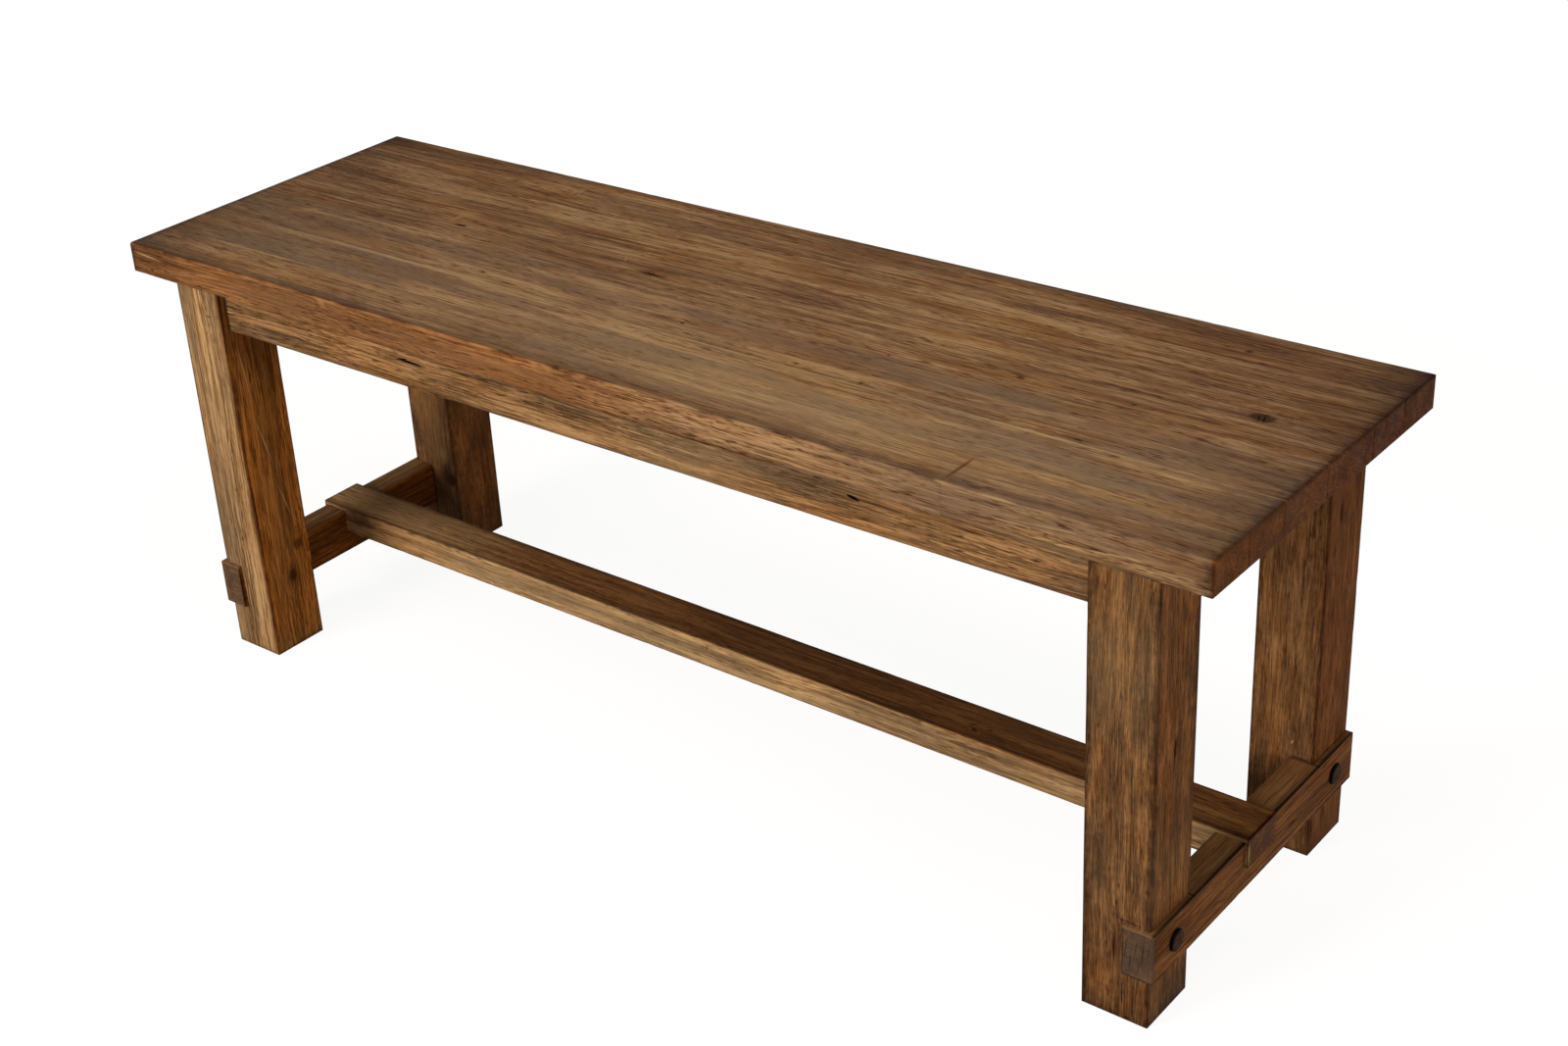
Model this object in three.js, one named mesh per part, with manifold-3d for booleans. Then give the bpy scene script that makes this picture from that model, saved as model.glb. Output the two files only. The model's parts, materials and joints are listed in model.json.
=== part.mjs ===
import * as THREE from 'three';
import { mergeVertices } from 'three/addons/utils/BufferGeometryUtils.js';
import Module from 'manifold-3d';

// A farmhouse bench. A seat glued up from staves lies on four square posts, an apron box
// stiffens it, and a lapped and bolted stretcher frame ties the posts together near the floor.
// Millimetres, +Z up. The origin is on the floor under the middle of the seat, with the front
// towards -Y and the seat's length along X.

const wasm = await Module();
wasm.setup();

// Overall sizes
const benchHeight = 457;
const seatLength = 1219;
const seatDepth = 374;
const seatThickness = 31;

// Fits and cutters
const glueLine = 0.2;
const fit = 0.3;
const cutterOverrun = 5;

// Seat staves: shares of the depth from the back to the front, and of the length from the left
const staveRows = [
  { name: 'back', widthShare: 0.155, jointShares: [0.252] },
  { name: 'back_inner', widthShare: 0.152, jointShares: [] },
  { name: 'middle_back', widthShare: 0.212, jointShares: [0.497] },
  { name: 'middle_front', widthShare: 0.19, jointShares: [] },
  { name: 'front_inner', widthShare: 0.147, jointShares: [] },
  { name: 'front', widthShare: 0.144, jointShares: [0.424, 0.808] },
];
const pieceNames = { 1: [''], 2: ['_left', '_right'], 3: ['_left', '_middle', '_right'] };

// Hand-worn arrises of the seat: the front one is rounded over in slow, uneven waves
const seatEase = 2;
const wornArrisMean = 3.6;
const wornArrisSwing = 1.7;
const wornPitches = [233, 97, 61];
const wornPitchShares = [0.5, 0.3, 0.2];
const wornTopShare = 1.35;
const wornStationPitch = 31;

// Posts
const postThickness = 62.5;
const postWidth = 64;
const postEndInset = 48.3;
const postFrontInset = 12.7;
const postEase = 2.5;

// Aprons
const apronHeight = 48.5;
const apronThickness = 22;
const apronRecess = 8;
const apronEase = 1.6;

// Stretcher frame
const endStretcherThickness = 29.2;
const endStretcherHeight = 49;
const endStretcherFloorGap = 49.2;
const endStretcherFaceProud = 5.5;
const endStretcherEndProud = 3.5;
const longStretcherWidth = 49;
const longStretcherHeight = 30.8;
const longStretcherTopProud = 4.7;
const longStretcherEndProud = 3.2;
const stretcherEase = 1.8;

// Stretcher bolts and their threaded inserts
const boltRadius = 4;
const boltHeadRadius = 10;
const boltHeadHeight = 3;
const boltHeadRimHeight = 2;
const boltHeadCrownRadius = 8.6;
const boltTipLength = 4;
const insertRadius = 6;
const insertLength = 16;
const insertFlangeRadius = 8;
const insertFlangeHeight = 1.6;

// Corner blocks
const blockThickness = 20;
const blockHeight = 36;
const blockPostClearance = 3.5;
const tongueWidth = 5;
const tongueLength = 7;
const postFlatLeg = 12;
const postFlatHeight = 40;

// Hanger bolts, washers and nuts
const hangerRadius = 4;
const hangerBite = 30;
const hangerPointLength = 6;
const hangerEndProud = 3;
const washerRadius = 11;
const washerThickness = 1.6;
const nutAcrossFlats = 13;
const nutHeight = 6.5;

// Wood screws
const seatScrew = { radius: 2.1, headRadius: 4.2, headHeight: 2.6, bite: 16, pointLength: 5 };
const seatScrewSpread = 35;
const seatScrewRecess = 16;
const lapScrew = { radius: 2.5, headRadius: 4.8, headHeight: 3, bite: 19, pointLength: 6 };
const lapScrewRecess = 4;

// Facets
const easeSteps = 2;
const wornSteps = 3;
const boreSegments = 16;
const screwSegments = 12;
const boltHeadSegments = 32;
const endEaseShare = 0.75;

// Places that follow from the sizes
const seatUnderside = benchHeight - seatThickness;
const postHeight = seatUnderside - glueLine;
const postX = seatLength / 2 - postEndInset - postThickness / 2;
const postY = seatDepth / 2 - postFrontInset - postWidth / 2;
const apronInnerX = postX + postThickness / 2 - apronRecess - apronThickness;
const apronInnerY = postY + postWidth / 2 - apronRecess - apronThickness;
const apronMiddleZ = seatUnderside - glueLine - apronHeight / 2;
const endStretcherTop = endStretcherFloorGap + endStretcherHeight;
const endStretcherOuterX = postX + postThickness / 2 + endStretcherFaceProud;
const endStretcherX = endStretcherOuterX - endStretcherThickness / 2;
const endStretcherZ = endStretcherFloorGap + endStretcherHeight / 2;
const endStretcherLength = 2 * (postY + postWidth / 2 + endStretcherEndProud);
const longStretcherTop = endStretcherTop + longStretcherTopProud;
const longStretcherBottom = longStretcherTop - longStretcherHeight;
const longStretcherZ = longStretcherTop - longStretcherHeight / 2;
const longStretcherLength = 2 * (endStretcherOuterX + longStretcherEndProud);
const lapFloor = longStretcherBottom - fit;

// The corner block lies across each corner of the apron box. Its plan is drawn from the corner
// where the two aprons' inner faces would meet, u along X and v along Y, both inwards.
const postCornerU = postThickness - apronRecess - apronThickness;
const postCornerV = postWidth - apronRecess - apronThickness;
const postFlatSum = postCornerU + postCornerV - postFlatLeg;
const blockNearSum = postCornerU + postCornerV + blockPostClearance * Math.SQRT2;
const blockFarSum = blockNearSum + blockThickness * Math.SQRT2;
const blockMiddleSum = (blockNearSum + blockFarSum) / 2;
const flatMiddleU = postCornerU - postFlatLeg / 2;
const flatMiddleV = postCornerV - postFlatLeg / 2;
const flatToBlock = (blockNearSum - postFlatSum) / Math.SQRT2;
const blockFarDistance = flatToBlock + blockThickness;
const blockMiddleZ = seatUnderside - glueLine - blockHeight / 2;

const corners = [
  { name: 'front_left', sideX: -1, sideY: -1 },
  { name: 'front_right', sideX: 1, sideY: -1 },
  { name: 'back_left', sideX: -1, sideY: 1 },
  { name: 'back_right', sideX: 1, sideY: 1 },
];
const ends = [
  { name: 'left', sideX: -1 },
  { name: 'right', sideX: 1 },
];

// Materials
const wood = (colour) => new THREE.MeshStandardMaterial({ color: colour, roughness: 0.62, metalness: 0 });
const seatWood = wood('#6f4a2a');
const postWood = wood('#6b4726');
const railWood = wood('#745030');
const hiddenWood = wood('#8a6a45');
const blackSteel = new THREE.MeshStandardMaterial({ color: '#231a16', roughness: 0.4, metalness: 0.7 });
const zincSteel = new THREE.MeshStandardMaterial({ color: '#b4b6b8', roughness: 0.35, metalness: 1 });

// Solids: a geometry becomes a solid for cuts, and comes back as a geometry
function toSolid(geometry) {
  const bare = geometry.clone();
  bare.deleteAttribute('normal');
  bare.deleteAttribute('uv');
  const merged = mergeVertices(bare);
  return new wasm.Manifold(new wasm.Mesh({
    numProp: 3,
    vertProperties: new Float32Array(merged.attributes.position.array),
    triVerts: new Uint32Array(merged.index.array),
  }));
}

function toGeometry(solid) {
  const mesh = solid.getMesh();
  const geometry = new THREE.BufferGeometry();
  geometry.setAttribute('position', new THREE.BufferAttribute(new Float32Array(mesh.vertProperties), 3));
  geometry.setIndex(new THREE.BufferAttribute(new Uint32Array(mesh.triVerts), 1));
  const flat = geometry.toNonIndexed();
  flat.computeVertexNormals();
  return flat;
}

function cut(geometry, cutters) {
  return toGeometry(cutters.reduce((solid, cutter) => solid.subtract(toSolid(cutter)), toSolid(geometry)));
}

function keepInside(geometry, region) {
  return toGeometry(toSolid(geometry).intersect(toSolid(region)));
}

// A box between two corners, given in any order along each axis
function boxBetween(x, y, z) {
  const size = [x, y, z].map(([a, b]) => Math.abs(b - a));
  const middle = [x, y, z].map(([a, b]) => (a + b) / 2);
  return new THREE.BoxGeometry(...size).translate(...middle);
}

// A round bar from a start point along a direction
function rod(radius, length, start, direction) {
  const turn = new THREE.Quaternion().setFromUnitVectors(new THREE.Vector3(0, 1, 0), direction);
  return new THREE.CylinderGeometry(radius, radius, length, boreSegments)
    .translate(0, length / 2, 0)
    .applyQuaternion(turn)
    .translate(start.x, start.y, start.z);
}

// A sawn and planed timber with every arris eased, its grain along Z, centred on the origin
function easedTimber(width, depth, length, ease) {
  const endEase = ease * endEaseShare;
  const halfWidth = width / 2;
  const halfDepth = depth / 2;
  const section = new THREE.Shape();
  section.moveTo(halfWidth - ease, -halfDepth);
  section.absarc(halfWidth - ease, ease - halfDepth, ease, -Math.PI / 2, 0, false);
  section.absarc(halfWidth - ease, halfDepth - ease, ease, 0, Math.PI / 2, false);
  section.absarc(ease - halfWidth, halfDepth - ease, ease, Math.PI / 2, Math.PI, false);
  section.absarc(ease - halfWidth, ease - halfDepth, ease, Math.PI, 1.5 * Math.PI, false);
  return new THREE.ExtrudeGeometry(section, {
    depth: length - 2 * endEase,
    curveSegments: easeSteps,
    bevelEnabled: true,
    bevelThickness: endEase,
    bevelSize: endEase,
    bevelOffset: -endEase,
    bevelSegments: easeSteps,
  }).translate(0, 0, endEase - length / 2);
}

const timberAlongX = (length, depth, height, ease) => easedTimber(height, depth, length, ease).rotateY(Math.PI / 2);
const timberAlongY = (width, length, height, ease) => easedTimber(width, height, length, ease).rotateX(Math.PI / 2);

// A turned piece: the outline runs from the axis at one end to the axis at the other
function turned(outline, segments) {
  return new THREE.LatheGeometry(outline.map(([radius, height]) => new THREE.Vector2(radius, height)), segments);
}

function addPiece(parent, name, geometry, material, position = [0, 0, 0]) {
  const mesh = new THREE.Mesh(geometry, material);
  mesh.name = name;
  mesh.position.set(...position);
  parent.add(mesh);
  return mesh;
}

// A turned piece stands along Y, and is swung so that it points along a direction
function aim(mesh, direction) {
  mesh.quaternion.setFromUnitVectors(new THREE.Vector3(0, 1, 0), direction);
}

const up = new THREE.Vector3(0, 0, 1);

// Seat: the staves are glued up and then worked as one slab, so each is cut from that slab
function wornArris(x) {
  const wave = wornPitches.reduce(
    (sum, pitch, index) => sum + wornPitchShares[index] * Math.sin((2 * Math.PI * x) / pitch + index), 0);
  return wornArrisMean + wornArrisSwing * wave;
}

// One corner of the slab's section, as points of a quarter ellipse
function roundedCorner(y, z, reachY, reachZ, startAngle, steps) {
  return Array.from({ length: steps + 1 }, (_, step) => {
    const angle = startAngle + (step / steps) * (Math.PI / 2);
    return [y + reachY * Math.cos(angle), z + reachZ * Math.sin(angle)];
  });
}

function slabSection(x, inset) {
  const front = inset - seatDepth / 2;
  const back = seatDepth / 2 - inset;
  const bottom = inset;
  const top = seatThickness - inset;
  const worn = wornArris(x);
  const wornY = worn * wornTopShare;
  return [
    ...roundedCorner(back - seatEase, bottom + seatEase, seatEase, seatEase, -Math.PI / 2, easeSteps),
    ...roundedCorner(back - seatEase, top - seatEase, seatEase, seatEase, 0, easeSteps),
    ...roundedCorner(front + wornY, top - worn, wornY, worn, Math.PI / 2, wornSteps),
    ...roundedCorner(front + seatEase, bottom + seatEase, seatEase, seatEase, Math.PI, easeSteps),
  ].map(([y, z]) => new THREE.Vector3(x, y, z));
}

// Skins a row of sections that have the same number of points, and closes both ends
function loft(sections) {
  const count = sections[0].length;
  const index = [];
  for (let row = 0; row + 1 < sections.length; row += 1) {
    for (let point = 0; point < count; point += 1) {
      const a = row * count + point;
      const b = row * count + ((point + 1) % count);
      index.push(a, b, b + count, a, b + count, a + count);
    }
  }
  const last = (sections.length - 1) * count;
  for (let point = 1; point + 1 < count; point += 1) {
    index.push(0, point + 1, point);
    index.push(last, last + point, last + point + 1);
  }
  const geometry = new THREE.BufferGeometry().setFromPoints(sections.flat());
  geometry.setIndex(index);
  return geometry;
}

function slab() {
  const endEase = seatEase * endEaseShare;
  const run = seatLength - 2 * endEase;
  const bays = Math.max(1, Math.round(run / wornStationPitch));
  const stations = Array.from({ length: bays + 1 }, (_, bay) => -run / 2 + (run * bay) / bays);
  return loft([
    slabSection(-seatLength / 2, endEase),
    ...stations.map((x) => slabSection(x, 0)),
    slabSection(seatLength / 2, endEase),
  ]);
}

function seatScrewPlaces() {
  return corners.flatMap((corner) => [1, -1].map((side) => {
    const shift = (side * seatScrewSpread) / Math.SQRT2;
    const u = blockMiddleSum / 2 + shift;
    const v = blockMiddleSum / 2 - shift;
    return {
      name: `seat_screw_${corner.name}_${side > 0 ? 'a' : 'b'}`,
      corner,
      x: corner.sideX * (apronInnerX - u),
      y: corner.sideY * (apronInnerY - v),
    };
  }));
}

function seat() {
  const group = new THREE.Group();
  group.position.z = seatUnderside;
  const pilotLength = seatScrew.bite + fit + cutterOverrun;
  const pilots = seatScrewPlaces().map(({ x, y }) =>
    rod(seatScrew.radius + fit, pilotLength, new THREE.Vector3(x, y, -cutterOverrun), up));
  const drilled = cut(slab(), pilots);
  const height = [-cutterOverrun, seatThickness + cutterOverrun];
  const gap = glueLine / 2;
  let backEdge = seatDepth / 2;
  staveRows.forEach((row, rowIndex) => {
    const frontEdge = backEdge - row.widthShare * seatDepth;
    const outermostBack = rowIndex === 0;
    const outermostFront = rowIndex === staveRows.length - 1;
    const depth = [
      outermostFront ? -seatDepth / 2 - cutterOverrun : frontEdge + gap,
      outermostBack ? backEdge + cutterOverrun : backEdge - gap,
    ];
    const joints = [0, ...row.jointShares, 1].map((share) => (share - 1 / 2) * seatLength);
    pieceNames[joints.length - 1].forEach((suffix, piece) => {
      const left = piece === 0 ? joints[piece] - cutterOverrun : joints[piece] + gap;
      const isLast = piece === joints.length - 2;
      const right = isLast ? joints[piece + 1] + cutterOverrun : joints[piece + 1] - gap;
      const stave = keepInside(drilled, boxBetween([left, right], depth, height));
      addPiece(group, `seat_stave_${row.name}${suffix}`, stave, seatWood);
    });
    backEdge = frontEdge;
  });
  return group;
}

// Posts
const inwardDiagonal = (corner) => new THREE.Vector3(-corner.sideX, -corner.sideY, 0).normalize();

function postFlatCutter(corner) {
  const reach = postThickness + postWidth;
  const cornerX = -corner.sideX * (postThickness / 2);
  const cornerY = -corner.sideY * (postWidth / 2);
  const turn = Math.atan2(-corner.sideY, -corner.sideX);
  const faceDistance = -postFlatLeg / Math.SQRT2;
  return boxBetween([faceDistance, reach], [-reach, reach], [postHeight - postFlatHeight, postHeight + cutterOverrun])
    .rotateZ(turn)
    .translate(cornerX, cornerY, 0);
}

function post(corner) {
  const { sideX, sideY } = corner;
  const housingWall = postThickness / 2 - (endStretcherThickness - endStretcherFaceProud) - fit;
  const housing = boxBetween(
    [sideX * housingWall, sideX * (postThickness / 2 + cutterOverrun)],
    [-postWidth / 2 - cutterOverrun, postWidth / 2 + cutterOverrun],
    [endStretcherFloorGap - fit, endStretcherTop + fit],
  );
  const intoPost = new THREE.Vector3(-sideX, 0, 0);
  const housingFace = new THREE.Vector3(sideX * (housingWall + cutterOverrun), 0, endStretcherZ);
  const insertBore = rod(insertRadius + fit, cutterOverrun + insertLength + 2 * fit, housingFace, intoPost);
  const flangeBore = rod(insertFlangeRadius + fit, cutterOverrun + insertFlangeHeight + 2 * fit, housingFace, intoPost);
  const tipBore = rod(boltRadius + fit, cutterOverrun + insertLength + boltTipLength + 3 * fit, housingFace, intoPost);
  const diagonal = inwardDiagonal(corner);
  const flatMiddle = new THREE.Vector3(
    -sideX * (postThickness / 2 - postFlatLeg / 2),
    -sideY * (postWidth / 2 - postFlatLeg / 2),
    blockMiddleZ,
  );
  const hangerStart = flatMiddle.clone().addScaledVector(diagonal, -hangerBite - fit);
  const hangerBore = rod(hangerRadius + fit, hangerBite + fit + cutterOverrun, hangerStart, diagonal);
  const blank = easedTimber(postThickness, postWidth, postHeight, postEase).translate(0, 0, postHeight / 2);
  return cut(blank, [housing, insertBore, flangeBore, tipBore, postFlatCutter(corner), hangerBore]);
}

function posts() {
  const group = new THREE.Group();
  corners.forEach((corner) => {
    addPiece(group, `post_${corner.name}`, post(corner), postWood, [corner.sideX * postX, corner.sideY * postY, 0]);
  });
  return group;
}

// Aprons, each with a stopped groove near both ends for the tongues of the corner blocks
function grooveFloor() {
  return apronHeight / 2 - blockHeight - fit;
}

function longApron(sideY) {
  const length = 2 * (postX - postThickness / 2 - glueLine);
  const innerFace = -sideY * (apronThickness / 2);
  const grooves = ends.map(({ sideX }) => {
    const middle = sideX * (apronInnerX - blockMiddleSum);
    return boxBetween(
      [middle - tongueWidth / 2 - fit, middle + tongueWidth / 2 + fit],
      [innerFace + sideY * (tongueLength + fit), innerFace - sideY * cutterOverrun],
      [grooveFloor(), apronHeight / 2 + cutterOverrun],
    );
  });
  return cut(timberAlongX(length, apronThickness, apronHeight, apronEase), grooves);
}

function endApron(sideX) {
  const length = 2 * (postY - postWidth / 2 - glueLine);
  const innerFace = -sideX * (apronThickness / 2);
  const grooves = [-1, 1].map((sideY) => {
    const middle = sideY * (apronInnerY - blockMiddleSum);
    return boxBetween(
      [innerFace + sideX * (tongueLength + fit), innerFace - sideX * cutterOverrun],
      [middle - tongueWidth / 2 - fit, middle + tongueWidth / 2 + fit],
      [grooveFloor(), apronHeight / 2 + cutterOverrun],
    );
  });
  return cut(timberAlongY(apronThickness, length, apronHeight, apronEase), grooves);
}

function aprons() {
  const group = new THREE.Group();
  group.position.z = apronMiddleZ;
  const middleX = apronInnerX + apronThickness / 2;
  const middleY = apronInnerY + apronThickness / 2;
  addPiece(group, 'front_apron', longApron(-1), railWood, [0, -middleY, 0]);
  addPiece(group, 'back_apron', longApron(1), railWood, [0, middleY, 0]);
  ends.forEach(({ name, sideX }) => {
    addPiece(group, `${name}_end_apron`, endApron(sideX), railWood, [sideX * middleX, 0, 0]);
  });
  return group;
}

// Corner blocks, with a bore for the hanger bolt and two recessed bores for the seat screws
function blockOutline(corner) {
  const face = glueLine;
  const tongueStart = blockMiddleSum - tongueWidth / 2;
  const tongueEnd = blockMiddleSum + tongueWidth / 2;
  const alongFront = [
    [blockNearSum - face, face],
    [tongueStart, face],
    [tongueStart, -tongueLength],
    [tongueEnd, -tongueLength],
    [tongueEnd, face],
    [blockFarSum - face, face],
  ];
  const alongEnd = alongFront.map(([u, v]) => [v, u]).reverse();
  return [...alongFront, ...alongEnd].map(([u, v]) => new THREE.Vector2(-corner.sideX * u, -corner.sideY * v));
}

function cornerBlock(corner) {
  const diagonal = inwardDiagonal(corner);
  const blank = new THREE.ExtrudeGeometry(new THREE.Shape(blockOutline(corner)), { depth: blockHeight, bevelEnabled: false })
    .translate(0, 0, -blockHeight / 2);
  const hangerStart = new THREE.Vector3(-corner.sideX * flatMiddleU, -corner.sideY * flatMiddleV, 0);
  const hangerBore = rod(hangerRadius + fit, blockFarDistance + cutterOverrun, hangerStart, diagonal);
  const screwBores = seatScrewPlaces().filter((place) => place.corner === corner).flatMap(({ x, y }) => {
    const localX = x - corner.sideX * apronInnerX;
    const localY = y - corner.sideY * apronInnerY;
    const start = new THREE.Vector3(localX, localY, -blockHeight / 2 - cutterOverrun);
    return [
      rod(seatScrew.radius + fit, blockHeight + 2 * cutterOverrun, start, up),
      rod(seatScrew.headRadius + fit, seatScrewRecess + cutterOverrun, start, up),
    ];
  });
  return cut(blank, [hangerBore, ...screwBores]);
}

function cornerBlocks() {
  const group = new THREE.Group();
  corners.forEach((corner) => {
    const place = [corner.sideX * apronInnerX, corner.sideY * apronInnerY, blockMiddleZ];
    addPiece(group, `corner_block_${corner.name}`, cornerBlock(corner), hiddenWood, place);
  });
  return group;
}

// Stretcher frame: the long stretcher drops into a lap in each end stretcher
function endStretcher() {
  const lap = boxBetween(
    [-endStretcherThickness / 2 - cutterOverrun, endStretcherThickness / 2 + cutterOverrun],
    [-longStretcherWidth / 2 - fit, longStretcherWidth / 2 + fit],
    [lapFloor - endStretcherZ, endStretcherHeight / 2 + cutterOverrun],
  );
  const across = new THREE.Vector3(1, 0, 0);
  const boltBores = [-1, 1].map((sideY) => rod(
    boltRadius + fit,
    endStretcherThickness + 2 * cutterOverrun,
    new THREE.Vector3(-endStretcherThickness / 2 - cutterOverrun, sideY * postY, 0),
    across,
  ));
  const below = new THREE.Vector3(0, 0, -endStretcherHeight / 2 - cutterOverrun);
  const screwBore = rod(lapScrew.radius + fit, endStretcherHeight + cutterOverrun, below, up);
  const screwRecess = rod(lapScrew.headRadius + fit, lapScrewRecess + cutterOverrun, below, up);
  const blank = timberAlongY(endStretcherThickness, endStretcherLength, endStretcherHeight, stretcherEase);
  return cut(blank, [lap, ...boltBores, screwBore, screwRecess]);
}

function longStretcher() {
  const pilots = ends.map(({ sideX }) => rod(
    lapScrew.radius + fit,
    lapScrew.bite + fit + cutterOverrun,
    new THREE.Vector3(sideX * endStretcherX, 0, -longStretcherHeight / 2 - cutterOverrun),
    up,
  ));
  return cut(timberAlongX(longStretcherLength, longStretcherWidth, longStretcherHeight, stretcherEase), pilots);
}

function stretchers() {
  const group = new THREE.Group();
  ends.forEach(({ name, sideX }) => {
    addPiece(group, `${name}_end_stretcher`, endStretcher(), railWood, [sideX * endStretcherX, 0, endStretcherZ]);
  });
  addPiece(group, 'long_stretcher', longStretcher(), railWood, [0, 0, longStretcherZ]);
  return group;
}

// Stretcher bolts: a low round head on the outer face, and a shank into the post's insert
function stretcherBolt() {
  const shankLength = endStretcherThickness + insertLength + boltTipLength + fit;
  const crownHeight = boltHeadHeight + fit;
  return turned([
    [0, -shankLength],
    [boltRadius, -shankLength],
    [boltRadius, fit],
    [boltHeadRadius, fit],
    [boltHeadRadius, boltHeadRimHeight + fit],
    [boltHeadCrownRadius, crownHeight],
    [0, crownHeight],
  ], boltHeadSegments);
}

function threadedInsert() {
  const bore = boltRadius + fit;
  return turned([
    [bore, 0],
    [insertRadius, 0],
    [insertRadius, insertLength - insertFlangeHeight],
    [insertFlangeRadius, insertLength - insertFlangeHeight],
    [insertFlangeRadius, insertLength],
    [bore, insertLength],
    [bore, 0],
  ], boreSegments);
}

function stretcherFixings() {
  const group = new THREE.Group();
  corners.forEach(({ name, sideX, sideY }) => {
    const outwards = new THREE.Vector3(sideX, 0, 0);
    const y = sideY * postY;
    const boltPlace = [sideX * endStretcherOuterX, y, endStretcherZ];
    aim(addPiece(group, `stretcher_bolt_${name}`, stretcherBolt(), blackSteel, boltPlace), outwards);
    const housingFace = endStretcherOuterX - endStretcherThickness - fit;
    const insertPlace = [sideX * (housingFace - insertLength - fit), y, endStretcherZ];
    aim(addPiece(group, `threaded_insert_${name}`, threadedInsert(), zincSteel, insertPlace), outwards);
  });
  return group;
}

// Hanger bolts: a point in the post, a plain shank through the block, a washer and a nut
function hangerBolt() {
  const end = blockFarDistance + 3 * fit + washerThickness + nutHeight + hangerEndProud;
  return turned([
    [0, -hangerBite],
    [hangerRadius, hangerPointLength - hangerBite],
    [hangerRadius, end],
    [0, end],
  ], screwSegments);
}

function washer() {
  const bore = hangerRadius + fit;
  return turned([
    [bore, 0],
    [washerRadius, 0],
    [washerRadius, washerThickness],
    [bore, washerThickness],
    [bore, 0],
  ], boreSegments);
}

function hexNut() {
  const cornerRadius = nutAcrossFlats / Math.sqrt(3);
  const hexagon = new THREE.Shape(Array.from({ length: 6 }, (_, side) => {
    const angle = (side * Math.PI) / 3;
    return new THREE.Vector2(cornerRadius * Math.cos(angle), cornerRadius * Math.sin(angle));
  }));
  hexagon.holes.push(new THREE.Path().absarc(0, 0, hangerRadius + fit, 0, 2 * Math.PI, true));
  return new THREE.ExtrudeGeometry(hexagon, { depth: nutHeight, bevelEnabled: false, curveSegments: screwSegments })
    .rotateX(-Math.PI / 2);
}

function cornerFixings() {
  const group = new THREE.Group();
  corners.forEach((corner) => {
    const diagonal = inwardDiagonal(corner);
    const flatMiddle = new THREE.Vector3(
      corner.sideX * (apronInnerX - flatMiddleU),
      corner.sideY * (apronInnerY - flatMiddleV),
      blockMiddleZ,
    );
    const along = (distance) => flatMiddle.clone().addScaledVector(diagonal, distance).toArray();
    const washerStart = blockFarDistance + fit;
    const nutStart = washerStart + washerThickness + fit;
    aim(addPiece(group, `hanger_bolt_${corner.name}`, hangerBolt(), zincSteel, along(0)), diagonal);
    aim(addPiece(group, `hanger_washer_${corner.name}`, washer(), zincSteel, along(washerStart)), diagonal);
    aim(addPiece(group, `hanger_nut_${corner.name}`, hexNut(), zincSteel, along(nutStart)), diagonal);
  });
  return group;
}

// Wood screws, pointing up from the underside of their heads
function woodScrew({ radius, headRadius, headHeight, bite, pointLength }, gripLength) {
  const tip = gripLength + bite;
  return turned([
    [0, -headHeight],
    [headRadius, -headHeight],
    [headRadius, 0],
    [radius, 0],
    [radius, tip - pointLength],
    [0, tip],
  ], screwSegments);
}

function screws() {
  const group = new THREE.Group();
  const seatGrip = blockHeight - seatScrewRecess + glueLine + fit;
  const seatHeadZ = seatUnderside - seatGrip;
  seatScrewPlaces().forEach(({ name, x, y }) => {
    aim(addPiece(group, name, woodScrew(seatScrew, seatGrip), zincSteel, [x, y, seatHeadZ]), up);
  });
  const lapHeadZ = endStretcherFloorGap + lapScrewRecess - fit;
  const lapGrip = longStretcherBottom - lapHeadZ;
  ends.forEach(({ name, sideX }) => {
    const place = [sideX * endStretcherX, 0, lapHeadZ];
    aim(addPiece(group, `lap_screw_${name}`, woodScrew(lapScrew, lapGrip), zincSteel, place), up);
  });
  return group;
}

const bench = new THREE.Group();
bench.add(seat(), posts(), aprons(), cornerBlocks(), stretchers());
bench.add(stretcherFixings(), cornerFixings(), screws());

export default bench;
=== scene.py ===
"""A farmhouse bench of brown-stained hardwood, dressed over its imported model.

Every timber, bolt, washer, nut and screw is rebuilt as a worked mesh in the place that the model
gives it. Sizes are in millimetres in the bench's frame, with the origin on the floor under the
middle of the seat, and become metres only where a mesh or a lamp is made.
"""

import json
import logging
import math
from collections.abc import Callable, Iterable, Mapping, Sequence
from dataclasses import dataclass, field, replace
from enum import Enum
from functools import cache, partial
from typing import Any

import bmesh
import bpy
from bpy.types import Material, NodeSocket, NodeTree, Object, World
from mathutils import Matrix, Vector, noise

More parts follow.
